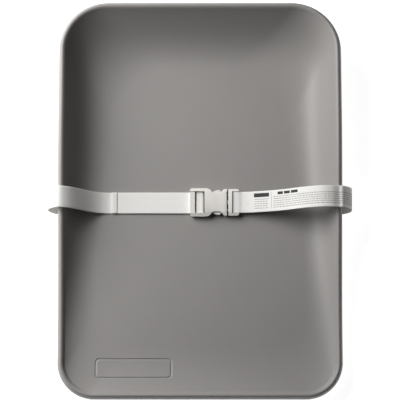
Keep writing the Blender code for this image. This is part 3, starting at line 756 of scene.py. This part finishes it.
# ---- belt ----------------------------------------------------------------------------------
def smooth_path(points, steps=8):
    """A centripetal Catmull-Rom curve through (x, z) points."""
    ends = [
        (2 * points[0][0] - points[1][0], 2 * points[0][1] - points[1][1]),
        (2 * points[-1][0] - points[-2][0], 2 * points[-1][1] - points[-2][1]),
    ]
    line = [Vector(p) for p in [ends[0], *points, ends[1]]]
    path = []
    for a, b, c, d in zip(line, line[1:], line[2:], line[3:]):
        t1 = max((b - a).length, 1e-6) ** 0.5
        t2 = t1 + max((c - b).length, 1e-6) ** 0.5
        t3 = t2 + max((d - c).length, 1e-6) ** 0.5
        for k in range(steps):
            t = t1 + (t2 - t1) * k / steps
            ab = a * ((t1 - t) / t1) + b * (t / t1)
            bc = b * ((t2 - t) / (t2 - t1)) + c * ((t - t1) / (t2 - t1))
            cd = c * ((t3 - t) / (t3 - t2)) + d * ((t - t2) / (t3 - t2))
            abc = ab * ((t2 - t) / t2) + bc * (t / t2)
            bcd = bc * ((t3 - t) / (t3 - t1)) + cd * ((t - t1) / (t3 - t1))
            path.append(abc * ((t2 - t) / (t2 - t1)) + bcd * ((t - t1) / (t2 - t1)))
    path.append(line[-2])
    return [(p.x, p.y) for p in path]


def band_frames(path):
    """Point, direction and upward side of each place along an (x, z) path."""
    frames = []
    run = 0.0
    for k, point in enumerate(path):
        before = Vector(path[max(k - 1, 0)])
        after = Vector(path[min(k + 1, len(path) - 1)])
        along = (after - before).normalized()
        if k:
            run += (Vector(point) - Vector(path[k - 1])).length
        frames.append((Vector(point), Vector((-along.y, along.x)), run))
    return frames


def band_section(width, thickness):
    """Closed section of the webbing as (across, up) with rounded selvedges."""
    flat = width / 2 - thickness / 2
    steps = 22
    top = [(-flat + 2 * flat * k / steps, thickness / 2) for k in range(steps + 1)]
    side = arc((flat, 0.0), thickness / 2, 90, -90, 4)[1:-1]
    bottom = [(-y, -z) for y, z in top]
    other = [(-y, -z) for y, z in side]
    return top + side + bottom + other


def band_piece(name, path, look):
    """A length of webbing along an (x, z) path, with its weave laid out in metres."""
    section = band_section(sizes().webbing, WEBBING_THICKNESS)
    rings = []
    frames = band_frames(path)
    for point, across, _ in frames:
        rings.append(
            [(point.x + across.x * n, y, point.y + across.y * n) for y, n in section]
        )
    bm, rows = sweep(rings)
    run = {}
    for row, (_, _, length) in zip(rows, frames):
        for vert in row:
            run[vert] = length
    weave = bm.loops.layers.uv.new("weave")
    for face in bm.faces:
        for loop in face.loops:
            loop[weave].uv = (run[loop.vert], loop.vert.co.y)
    return finish_piece(name, bm, look, 50.0)


def belt_z():
    return sizes().floor + GAP + WEBBING_THICKNESS / 2 + 0.00005


def rim_top():
    """Highest point of the rim under the belt."""
    return rim_height(sizes().webbing / 2)


def outside_loop():
    """Course of the belt, for x > 0, from the clamp under the pad, out, up and onto the rim."""
    rim = rim_top()
    top = rim + GAP + WEBBING_THICKNESS / 2 + 0.0006
    reach = LOOP_REACH
    edge = sizes().width / 2
    start = ANCHOR_X - CLAMP_SIZE[0] / 2 + 0.002
    return [
        (start, ANCHOR_BELT_Z),
        (start + 0.024, ANCHOR_BELT_Z),
        (edge - 0.0450, ANCHOR_BELT_Z),
        (edge - 0.0280, ANCHOR_BELT_Z + 0.0001),
        (edge - 0.0100, 0.086 * rim),
        (reach - 0.0115, 0.183 * rim),
        (reach - 0.0020, 0.376 * rim),
        (reach, 0.580 * rim),
        (reach - 0.0022, 0.773 * rim),
        (reach - 0.0095, 0.915 * rim),
        (edge, top),
        (edge - 0.0065, top),
    ]


# Left belt over the inside wall: share of the wall's width from the bead, share of its height.
LEFT_WALL = (
    (0.070, 0.932),
    (0.237, 0.773),
    (0.390, 0.588),
    (0.530, 0.422),
    (0.683, 0.262),
    (0.823, 0.147),
    (0.962, 0.070),
    (1.130, 0.026),
)
# Right belt from the sewn loop up to the rim: share of the way across, share of the rise.
RIGHT_RISE = (
    (0.192, 0.157),
    (0.400, 0.402),
    (0.577, 0.688),
    (0.738, 0.890),
    (0.877, 1.0),
    (1.0, 1.0),
)


def left_course():
    """Course from the left clamp to the ladder bars and back over itself as the free tail."""
    belt = belt_z()
    tail = belt + LAYER_STEP
    reach = WEBBING_THICKNESS / 2 + GAP
    over = tail + WEBBING_THICKNESS / 2 + GAP + 0.0031 + reach
    wrap = BAR_ROUND + reach
    inner_x = LOCK_BAR[1] + reach
    outer_x = LOCK_BAR[0] - reach
    wall = sizes().width / 2 - BEAD_WIDTH
    width = side_wall_width(0.0)
    rise = rim_top() - sizes().floor
    down = [(-wall + u * width, sizes().floor + s * rise) for u, s in LEFT_WALL]
    flat = -wall + 1.492 * width
    down += [(-wall + 1.283 * width, belt + 0.0001), (flat, belt)]
    course = smooth_path([(-x, z) for x, z in outside_loop()] + down)
    course += [(flat + (-0.0100 - flat) * k / 12, belt) for k in range(1, 13)]
    course += arc((inner_x - 0.0020, belt + 0.0020), 0.0020, -85, 0, 8)
    course += arc((inner_x - wrap, over - wrap), wrap, 0, 90, 10)
    course += arc((outer_x + wrap, over - wrap), wrap, 90, 180, 10)
    course += arc((outer_x - 0.0012, tail + 0.0012), 0.0012, -5, -90, 8)
    end = -TAIL_END + WEBBING_THICKNESS
    course += [(-0.012 + (end + 0.012) * k / 14, tail) for k in range(15)]
    fold = (WEBBING_THICKNESS + 0.0001) / 2
    course += arc((end, tail + fold), fold, -105, -270, 10)
    course += [(end + HEM_LENGTH * k / 4, tail + 2 * fold) for k in range(1, 5)]
    return course


def right_courses():
    """The right-hand belt as two courses that meet at the outermost point of its loop.

    The first starts at the turned-back end sewn on the underside of the loop.
    """
    reach = WEBBING_THICKNESS / 2 + GAP
    low = BUCKLE_MID - PLUG_BAR_THICKNESS / 2 - reach
    high = BUCKLE_MID + PLUG_BAR_THICKNESS / 2 + reach
    bar_start, bar_end = PLUG_BAR
    under = [
        (bar_end + 0.0315, BUCKLE_MID + 0.0062),
        (bar_end + 0.0185, BUCKLE_MID + 0.0023),
        (bar_end + 0.0095, BUCKLE_MID - 0.0002),
        (bar_end, low),
        (bar_start + 0.002, low),
    ]
    course = smooth_path(under, 6)
    course += arc((bar_start, low + reach), reach, 270, 180, 6)
    course += arc((bar_start, high - reach), reach, 180, 90, 6)
    rise_start = (bar_end + 0.0315, BUCKLE_MID + 0.0064 + LAYER_STEP)
    rise_end = (sizes().width / 2 - 0.0190, rim_top() + 0.0052)
    rise = [
        (bar_start + 0.002, high),
        (bar_end, high),
        (bar_end + 0.0040, high - 0.0005),
        (bar_end + 0.0095, BUCKLE_MID + 0.0010 + LAYER_STEP),
        (bar_end + 0.0185, BUCKLE_MID + 0.0026 + LAYER_STEP),
        rise_start,
    ]
    across, up = rise_end[0] - rise_start[0], rise_end[1] - rise_start[1]
    rise += [(rise_start[0] + u * across, rise_start[1] + s * up) for u, s in RIGHT_RISE]
    whole = smooth_path(rise + outside_loop()[::-1])
    turn = max(range(len(whole)), key=lambda k: whole[k][0])
    return course + whole[: turn + 1], whole[turn:]


def stitch_rows(name, path, rows, look, lift):
    """Sewn stitches: small rounded bars laid on the webbing's upper side.

    rows lists (run from, across from, run to, across to, stitches) on the band.
    """
    frames = band_frames(path)
    bm = bmesh.new()

    def on_band(run, across):
        index = next(k for k, f in enumerate(frames) if f[2] >= run or k == len(frames) - 1)
        point, side, _ = frames[max(index, 1)]
        back, _, start = frames[max(index, 1) - 1]
        span = max(frames[max(index, 1)][2] - start, 1e-9)
        spot = back.lerp(point, min(max((run - start) / span, 0.0), 1.0))
        return Vector((spot.x + side.x * lift, across, spot.y + side.y * lift))

    for run_a, across_a, run_b, across_b, count in rows:
        for k in range(count):
            t0, t1 = (k + 0.12) / count, (k + 0.88) / count
            a = on_band(run_a + (run_b - run_a) * t0, across_a + (across_b - across_a) * t0)
            b = on_band(run_a + (run_b - run_a) * t1, across_a + (across_b - across_a) * t1)
            turn = (b - a).to_track_quat("Z", "X").to_matrix().to_4x4()
            place = Matrix.Translation((a + b) / 2) @ turn
            shape = Matrix.Diagonal((0.00028, 0.00028, (b - a).length / 2, 1.0))
            bmesh.ops.create_uvsphere(
                bm, u_segments=8, v_segments=6, radius=1.0, matrix=place @ shape
            )
    return finish_piece(name, bm, look, 80.0)


def printed_patches(name, path, patches, look):
    """Thin closed patches of ink on the webbing: (run from, run to, across from, across to)."""
    frames = band_frames(path)
    lift, ink = WEBBING_THICKNESS / 2 + 0.00003, 0.00006
    bm = bmesh.new()
    for run_a, run_b, across_a, across_b in patches:
        inner = [f[2] for f in frames if run_a < f[2] < run_b]
        rings = []
        for run in [run_a, *inner, run_b]:
            index = next(k for k, f in enumerate(frames) if f[2] >= run)
            index = max(index, 1)
            point, side, end = frames[index]
            back, _, start = frames[index - 1]
            spot = back.lerp(point, (run - start) / max(end - start, 1e-9))
            corners = [(across_a, lift), (across_b, lift)]
            corners += [(across_b, lift + ink), (across_a, lift + ink)]
            rings.append(
                [(spot.x + side.x * n, y, spot.y + side.y * n) for y, n in corners]
            )
        patch, _ = sweep(rings)
        mesh = bpy.data.meshes.new("patch")
        patch.to_mesh(mesh)
        patch.free()
        bm.from_mesh(mesh)
        bpy.data.meshes.remove(mesh)
    return finish_piece(name, bm, look, 30.0)


def dashes(start, end, across, height, seed):
    """A broken line of short marks of uneven length, like small print seen from afar."""
    marks = []
    run, value = start, seed
    while run < end:
        value = (value * 1103515245 + 12345) % 2147483648
        length = 0.0022 + 0.0040 * (value / 2147483648)
        marks.append((run, min(run + length, end), across - height / 2, across + height / 2))
        run += length + 0.0011
    return marks


def belt_run_at(path, x, after=0.0):
    """Distance along a course at which it first passes x, beyond a given run."""
    frames = band_frames(path)
    for (a, _, ra), (b, _, rb) in zip(frames, frames[1:]):
        if ra >= after and (a.x - x) * (b.x - x) <= 0 and abs(b.x - a.x) > 1e-9:
            return ra + (rb - ra) * (x - a.x) / (b.x - a.x)
    raise RuntimeError(f"the belt never passes x = {x}")


class WeaveBelt(bpy.types.Operator):
    """Weaves both lengths of the belt, the free tail with its hem, and their stitches"""

    bl_idname = "changing_pad.weave_belt"
    bl_label = "Weave the belt"

    def execute(self, context):
        webbing = webbing_material()
        thread = thread_material()
        left = left_course()
        length = band_frames(left)[-1][2]
        band = band_piece("belt_left", left, webbing)
        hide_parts("strap_webbing_left")
        hem = [(length - 0.0022, -0.0175, length - 0.0022, 0.0175, 13)]
        hem.append((length - 0.0042, -0.0175, length - 0.0042, 0.0175, 13))
        seam = stitch_rows("tail_hem_stitches", left, hem, thread, WEBBING_THICKNESS / 2)
        for piece in (band, seam):
            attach(piece, "pad")
        upper, under = right_courses()
        band = band_piece("belt_right", upper, webbing)
        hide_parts("strap_webbing_right")
        box = loop_rows(belt_run_at(upper, PLUG_BAR[1] + 0.0060, after=LOOP_END_RUN))
        seam = stitch_rows("plug_loop_stitches", upper, box, thread, WEBBING_THICKNESS / 2)
        for piece in (band, seam):
            follow_plug(piece)
        lower = band_piece("belt_right_under", under, webbing)
        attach(lower, "pad")
        return {"FINISHED"}


def loop_rows(first):
    """A stitched box with crossed diagonals that holds the turned-back end of the loop."""
    last, half = first + 0.0175, 0.0165
    return [
        (first, -half, first, half, 13),
        (last, -half, last, half, 13),
        (first, -half, last, -half, 5),
        (first, half, last, half, 5),
        (first, -half, last, half, 14),
        (first, half, last, -half, 14),
    ]


def follow_plug(piece):
    """Bakes the piece's placement into its mesh."""
    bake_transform(piece)


class PrintCareMarks(bpy.types.Operator):
    """Prints a plain bar, a rule and rows of broken lines on the right-hand belt"""

    bl_idname = "changing_pad.print_care_marks"
    bl_label = "Print the care marks"

    def execute(self, context):
        upper, _ = right_courses()

        def at(x):
            return belt_run_at(upper, x, after=LOOP_END_RUN)

        last = band_frames(upper)[-1][2] - 0.004
        heavy = [
            (at(0.0960), at(0.1225), 0.0080, 0.0150),
            (at(0.1375), at(0.1468), 0.0105, 0.0155),
            (at(0.1486), at(0.1586), 0.0105, 0.0155),
            (at(0.1604), at(0.1720), 0.0105, 0.0155),
        ]
        fine = [(at(0.1262), at(0.1268), -0.0140, 0.0155)]
        for k in range(5):
            across = 0.0040 - 0.0040 * k
            fine += dashes(at(0.0970), at(0.1215 - 0.002 * (k % 2)), across, 0.0011, 7 + k)
        for k in range(6):
            across = 0.0070 - 0.0038 * k
            fine += dashes(at(0.1300), last - 0.004 * (k % 3), across, 0.0012, 40 + k)
        marks = printed_patches(
            "care_marks_heavy", upper, heavy, ink_material("black print ink", colours().ink)
        )
        rows = printed_patches(
            "care_marks_fine", upper, fine, ink_material("grey print ink", colours().fine_ink)
        )
        for piece in (marks, rows):
            follow_plug(piece)
        return {"FINISHED"}


# ---- buckle --------------------------------------------------------------------------------
def mirrored(half):
    """Closes an outline given for y > 0, in order of rising x, with its mirror image."""
    return list(half)[::-1] + [(x, -y) for x, y in half]


def socket_outline():
    """Plan of the socket: full width at the ladder bars, waisted at the release windows."""
    corner = 0.004
    end = arc((ADJUSTER_END + corner, SOCKET_HALF - corner), corner, 180, 90, 8)
    notch = smooth_path(
        [
            (0.0090, SOCKET_HALF),
            (0.0140, SOCKET_HALF - 0.0006),
            (0.0180, SOCKET_HALF - 0.0030),
            (0.0210, SOCKET_HALF - 0.0062),
            (0.0250, WAIST_HALF + 0.0002),
            (0.0310, WAIST_HALF - 0.0002),
            (0.0365, WAIST_HALF + 0.0006),
            (0.0400, WAIST_HALF + 0.0030),
            (0.0422, COLLAR_HALF - 0.0006),
            (0.0440, COLLAR_HALF),
        ],
        4,
    )
    return mirrored(end + notch + [(MOUTH, COLLAR_HALF)])


def crown_mesh(half_width, half_height, start, end):
    """Bar along X whose section falls away from a flat crest to a thin edge, top and bottom."""
    over = 0.0005
    slope = (half_height - EDGE_HALF_HEIGHT) / (half_width - CREST_HALF)
    crest, edge = CREST_HALF - over / slope, half_width + over
    top, side = half_height + over, EDGE_HALF_HEIGHT - over * slope
    quarter = [(edge, side), (crest, top)]
    section = quarter + [(-y, z) for y, z in quarter[::-1]]
    section += [(-y, -z) for y, z in section]
    bm = bmesh.new()
    bmesh.ops.create_circle(bm, segments=len(section), radius=1.0, cap_ends=True)
    for vert, (y, z) in zip(bm.verts, section):
        vert.co = (start - over, y, BUCKLE_MID + z)
    pulled = bmesh.ops.extrude_face_region(bm, geom=list(bm.faces))["geom"]
    far = [item for item in pulled if isinstance(item, bmesh.types.BMVert)]
    bmesh.ops.translate(bm, verts=far, vec=(end - start + 2 * over, 0.0, 0.0))
    return bm


def socket_mesh_piece(look):
    """Female half: ladder bars, hollow body open at the mouth and at both side windows."""
    low = BUCKLE_MID - BUCKLE_THICKNESS / 2
    high = BUCKLE_MID + BUCKLE_THICKNESS / 2
    rail = sizes().webbing / 2 + RAIL_CLEARANCE
    bar_low = belt_z() + WEBBING_THICKNESS * 1.5 + 2 * GAP + 0.0001
    cavity_low, cavity_high = BUCKLE_MID - CAVITY_HEIGHT / 2, BUCKLE_MID + CAVITY_HEIGHT / 2
    socket = finish_piece(
        "socket", prism_mesh(socket_outline(), low, high, 0.0016, 4), look
    )
    crown = crown_mesh(SOCKET_HALF, BUCKLE_THICKNESS / 2, ADJUSTER_END, MOUTH)
    cut(socket, [crown], "INTERSECT")
    hollows = [
        box_mesh((END_BAR[1], -rail, low - CUT_OVER), (BODY_START, rail, high + CUT_OVER)),
        box_mesh((ADJUSTER_END - CUT_OVER, -rail, low - CUT_OVER), (BODY_START - 0.001, rail, bar_low)),
        box_mesh(
            (ADJUSTER_END - CUT_OVER, -rail, bar_low + 0.0075),
            (BODY_START - 0.001, rail, high + CUT_OVER),
        ),
        box_mesh(
            (CAVITY_START, -CAVITY_HALF, cavity_low), (COLLAR_START, CAVITY_HALF, cavity_high)
        ),
        box_mesh(
            (COLLAR_START - 0.001, -MOUTH_HALF, cavity_low),
            (MOUTH + CUT_OVER, MOUTH_HALF, cavity_high),
        ),
    ]
    cut(socket, hollows)
    bar = box_mesh(
        (LOCK_BAR[0], -rail - 0.001, bar_low), (LOCK_BAR[1], rail + 0.001, bar_low + 0.003)
    )
    long_edges = [e for e in bar.edges if abs(e.verts[0].co.y - e.verts[1].co.y) > 0.01]
    bmesh.ops.bevel(
        bar,
        geom=long_edges,
        offset=BAR_ROUND,
        affect="EDGES",
        segments=6,
        profile=0.5,
        material=-1,
    )
    cut(socket, [bar], "UNION")
    return soften(socket, EDGE_SOFTNESS)


def plug_mesh_piece(look):
    """Male half without its arms: head block, webbing bar and centre guide blade."""
    half_z = PLUG_THICKNESS / 2
    corner = 0.004
    rail = sizes().webbing / 2 + RAIL_CLEARANCE
    head = [(PLUG_START, PLUG_HALF - PLUG_EDGE), (PLUG_START + PLUG_EDGE, PLUG_HALF)]
    tail = arc((PLUG_BAR[1] - corner, PLUG_HALF - corner), corner, 90, 0, 8)
    low, high = BUCKLE_MID - half_z, BUCKLE_MID + half_z
    plug = finish_piece(
        "plug", prism_mesh(mirrored(head + tail), low, high, PLUG_EDGE, 3), look
    )
    cut(plug, [crown_mesh(PLUG_HALF, half_z, PLUG_START, PLUG_BAR[1])], "INTERSECT")
    bar_half = PLUG_BAR_THICKNESS / 2
    bar_start, bar_end = PLUG_BAR
    hollows = [
        box_mesh((PLUG_BLOCK_END, -rail, low - CUT_OVER), (bar_start, rail, high + CUT_OVER)),
        box_mesh(
            (bar_start - 0.001, -rail, BUCKLE_MID + bar_half), (bar_end + CUT_OVER, rail, high + CUT_OVER)
        ),
        box_mesh(
            (bar_start - 0.001, -rail, low - CUT_OVER), (bar_end + CUT_OVER, rail, BUCKLE_MID - bar_half)
        ),
    ]
    seat_low, seat_high = BUCKLE_MID - ARM_HALF_HEIGHT - 0.0003, BUCKLE_MID + ARM_HALF_HEIGHT + 0.0003
    for side in (-1, 1):
        seat = (HINGE_X, side * HINGE_Y)
        hollows.append(cylinder_mesh(seat, PRONG_ROOT_RADIUS + 0.0004, seat_low, seat_high))
        inner, outer = side * (HINGE_Y - 0.0026), side * (HINGE_Y + 0.0018)
        hollows.append(
            box_mesh(
                (PLUG_START - CUT_OVER, min(inner, outer), seat_low),
                (HINGE_X, max(inner, outer), seat_high),
            )
        )
    cut(plug, hollows)
    tip = arc((BLADE_TIP + BLADE_HALF, 0.0), BLADE_HALF, 180, 90, 8)
    blade = prism_mesh(
        mirrored(tip + [(PLUG_START + 0.001, BLADE_HALF)]),
        BUCKLE_MID - ARM_HALF_HEIGHT,
        BUCKLE_MID + ARM_HALF_HEIGHT,
    )
    cut(plug, [blade], "UNION")
    return soften(plug, EDGE_SOFTNESS)


def prong_piece(name, side, look):
    """One spring arm with its round root, catch tab and rounded tip."""
    shape = [
        (HINGE_X - 0.0012, HINGE_Y + 0.0013),
        *arc((HINGE_X, HINGE_Y), PRONG_ROOT_RADIUS, 120, -120, 16),
        (HINGE_X - 0.0012, HINGE_Y - 0.0013),
        (0.0400, 0.0124),
        (0.0260, 0.0132),
        (PRONG_TIP + 0.0012, 0.0146),
        (PRONG_TIP, 0.0156),
        (PRONG_TIP + 0.0004, 0.0168),
        (0.0222, 0.0186),
        (0.0262, PRONG_TAB - 0.0013),
        (0.0295, PRONG_TAB - 0.0002),
        (0.0325, PRONG_TAB),
        (PRONG_SHOULDER - 0.0008, PRONG_TAB),
        (PRONG_SHOULDER, PRONG_TAB - 0.0008),
        (PRONG_SHOULDER + 0.0002, 0.0160),
        (0.0440, 0.0152),
    ]
    outline = [(x, side * y) for x, y in shape]
    bm = prism_mesh(outline, BUCKLE_MID - ARM_HALF_HEIGHT, BUCKLE_MID + ARM_HALF_HEIGHT)
    return soften(finish_piece(name, bm, look), EDGE_SOFTNESS)


class MouldBuckle(bpy.types.Operator):
    """Moulds the buckle: the socket on the left belt, and the plug with its two spring arms"""

    bl_idname = "changing_pad.mould_buckle"
    bl_label = "Mould the buckle"

    def execute(self, context):
        acetal = acetal_material()
        pieces = (
            (socket_mesh_piece(acetal), "pad", "buckle_socket"),
            (plug_mesh_piece(acetal), "plug", "buckle_plug"),
            (prong_piece("arm_head_side", 1, acetal), "prong_head_side", "buckle_prong_head_side"),
            (prong_piece("arm_foot_side", -1, acetal), "prong_foot_side", "buckle_prong_foot_side"),
        )
        for piece, body, node in pieces:
            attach(piece, body)
            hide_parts(node)
        return {"FINISHED"}


class DressAnchors(bpy.types.Operator):
    """Gives the strap anchors under the pad their finishes"""

    bl_idname = "changing_pad.dress_anchors"
    bl_label = "Finish the strap anchors"

    def execute(self, context):
        looks = {
            "anchor_clamp_plate": plate_material("moulded glass-filled nylon", "#3A3A3B", 0.55),
            "anchor_backing_plate": plate_material("moulded polypropylene insert", "#252526", 0.6),
            "anchor_screw": steel_material(),
        }
        for name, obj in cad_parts.items():
            for start, look in looks.items():
                if name.startswith(start):
                    for place in obj.material_slots:
                        place.material = look
        return {"FINISHED"}


# ---- stage ---------------------------------------------------------------------------------
PAD_MIDDLE_Z = 0.05
CAMERA_DISTANCE = 3.5
CAMERA_ELEVATION = 79.0
CAMERA_LENS = 178.3  # mm, on a 36 mm sensor
FLOOR_GLOW = 0.9  # keeps the floor white round the pad


def area_light(name, place, target, size, watts):
    data = bpy.data.lights.new(name, "AREA")
    data.shape = "RECTANGLE"
    data.size, data.size_y = size
    data.energy = watts
    lamp = bpy.data.objects.new(name, data)
    lamp.location = place
    lamp.rotation_euler = (Vector(target) - Vector(place)).to_track_quat("-Z", "Y").to_euler()
    bpy.context.scene.collection.objects.link(lamp)


class SetStage(bpy.types.Operator):
    """Sets the pale floor, the soft key light from the left and the camera above the foot end"""

    bl_idname = "changing_pad.set_stage"
    bl_label = "Set the stage"

    def execute(self, context):
        scene = context.scene
        white, _, surface = start_material("matt white studio floor", colours().floor, 0.9)
        surface.inputs["Emission Color"].default_value = linear(colours().floor)
        surface.inputs["Emission Strength"].default_value = FLOOR_GLOW
        bm = bmesh.new()
        bmesh.ops.create_grid(bm, x_segments=1, y_segments=1, size=6.0)
        floor = finish_piece("studio_floor", bm, white)
        for vert in floor.data.vertices:
            vert.co.z = -0.0005
        world = bpy.data.worlds.new("pale studio")
        world.use_nodes = True
        back = world.node_tree.nodes["Background"]
        back.inputs["Color"].default_value = linear("#FFFFFF")
        back.inputs["Strength"].default_value = 0.03
        scene.world = world
        area_light("key", (-1.05, 0.62, 0.95), (0.0, 0.0, 0.05), (1.3, 1.3), 40.0)
        eye = camera_place(CAMERA_DISTANCE, CAMERA_ELEVATION)
        camera = bpy.data.cameras.new("camera")
        camera.sensor_width = 36.0
        camera.lens = CAMERA_LENS
        made = bpy.data.objects.new("camera", camera)
        made.location = eye
        target = Vector((0.0, 0.0003, PAD_MIDDLE_Z))
        made.rotation_euler = (target - eye).to_track_quat("-Z", "Y").to_euler()
        scene.collection.objects.link(made)
        scene.camera = made
        scene.view_settings.view_transform = "Standard"
        return {"FINISHED"}


def camera_place(distance, elevation):
    """A point that looks at the pad's middle from above its foot end."""
    rise = math.radians(elevation)
    return Vector((0.0, -distance * math.cos(rise), PAD_MIDDLE_Z + distance * math.sin(rise)))


class ChangingPadPanel(bpy.types.Panel):
    """Lists the steps that build the changing pad"""

    bl_idname = "VIEW3D_PT_changing_pad"
    bl_label = "Changing pad"
    bl_space_type = "VIEW_3D"
    bl_region_type = "UI"
    bl_category = "Changing pad"

    def draw(self, context):
        layout = self.layout
        for group in (context.scene.changing_pad_sizes, context.scene.changing_pad_colours):
            box = layout.box()
            for name in group.bl_rna.properties.keys():
                if name not in ("rna_type", "name"):
                    box.prop(group, name)
        for step in STEPS:
            layout.operator(step.bl_idname)


STEPS = (MouldTray, WeaveBelt, PrintCareMarks, MouldBuckle, DressAnchors, SetStage)
CLASSES = (ChangingPadSizes, ChangingPadColours, *STEPS, ChangingPadPanel)


def register():
    for made in CLASSES:
        bpy.utils.register_class(made)
    bpy.types.Scene.changing_pad_sizes = bpy.props.PointerProperty(type=ChangingPadSizes)
    bpy.types.Scene.changing_pad_colours = bpy.props.PointerProperty(type=ChangingPadColours)


def unregister():
    del bpy.types.Scene.changing_pad_sizes
    del bpy.types.Scene.changing_pad_colours
    for made in reversed(CLASSES):
        bpy.utils.unregister_class(made)


def main():
    register()
    bpy.ops.changing_pad.mould_tray()
    bpy.ops.changing_pad.weave_belt()
    bpy.ops.changing_pad.print_care_marks()
    bpy.ops.changing_pad.mould_buckle()
    bpy.ops.changing_pad.dress_anchors()
    bpy.ops.changing_pad.set_stage()


if __name__ == "__main__":
    main()
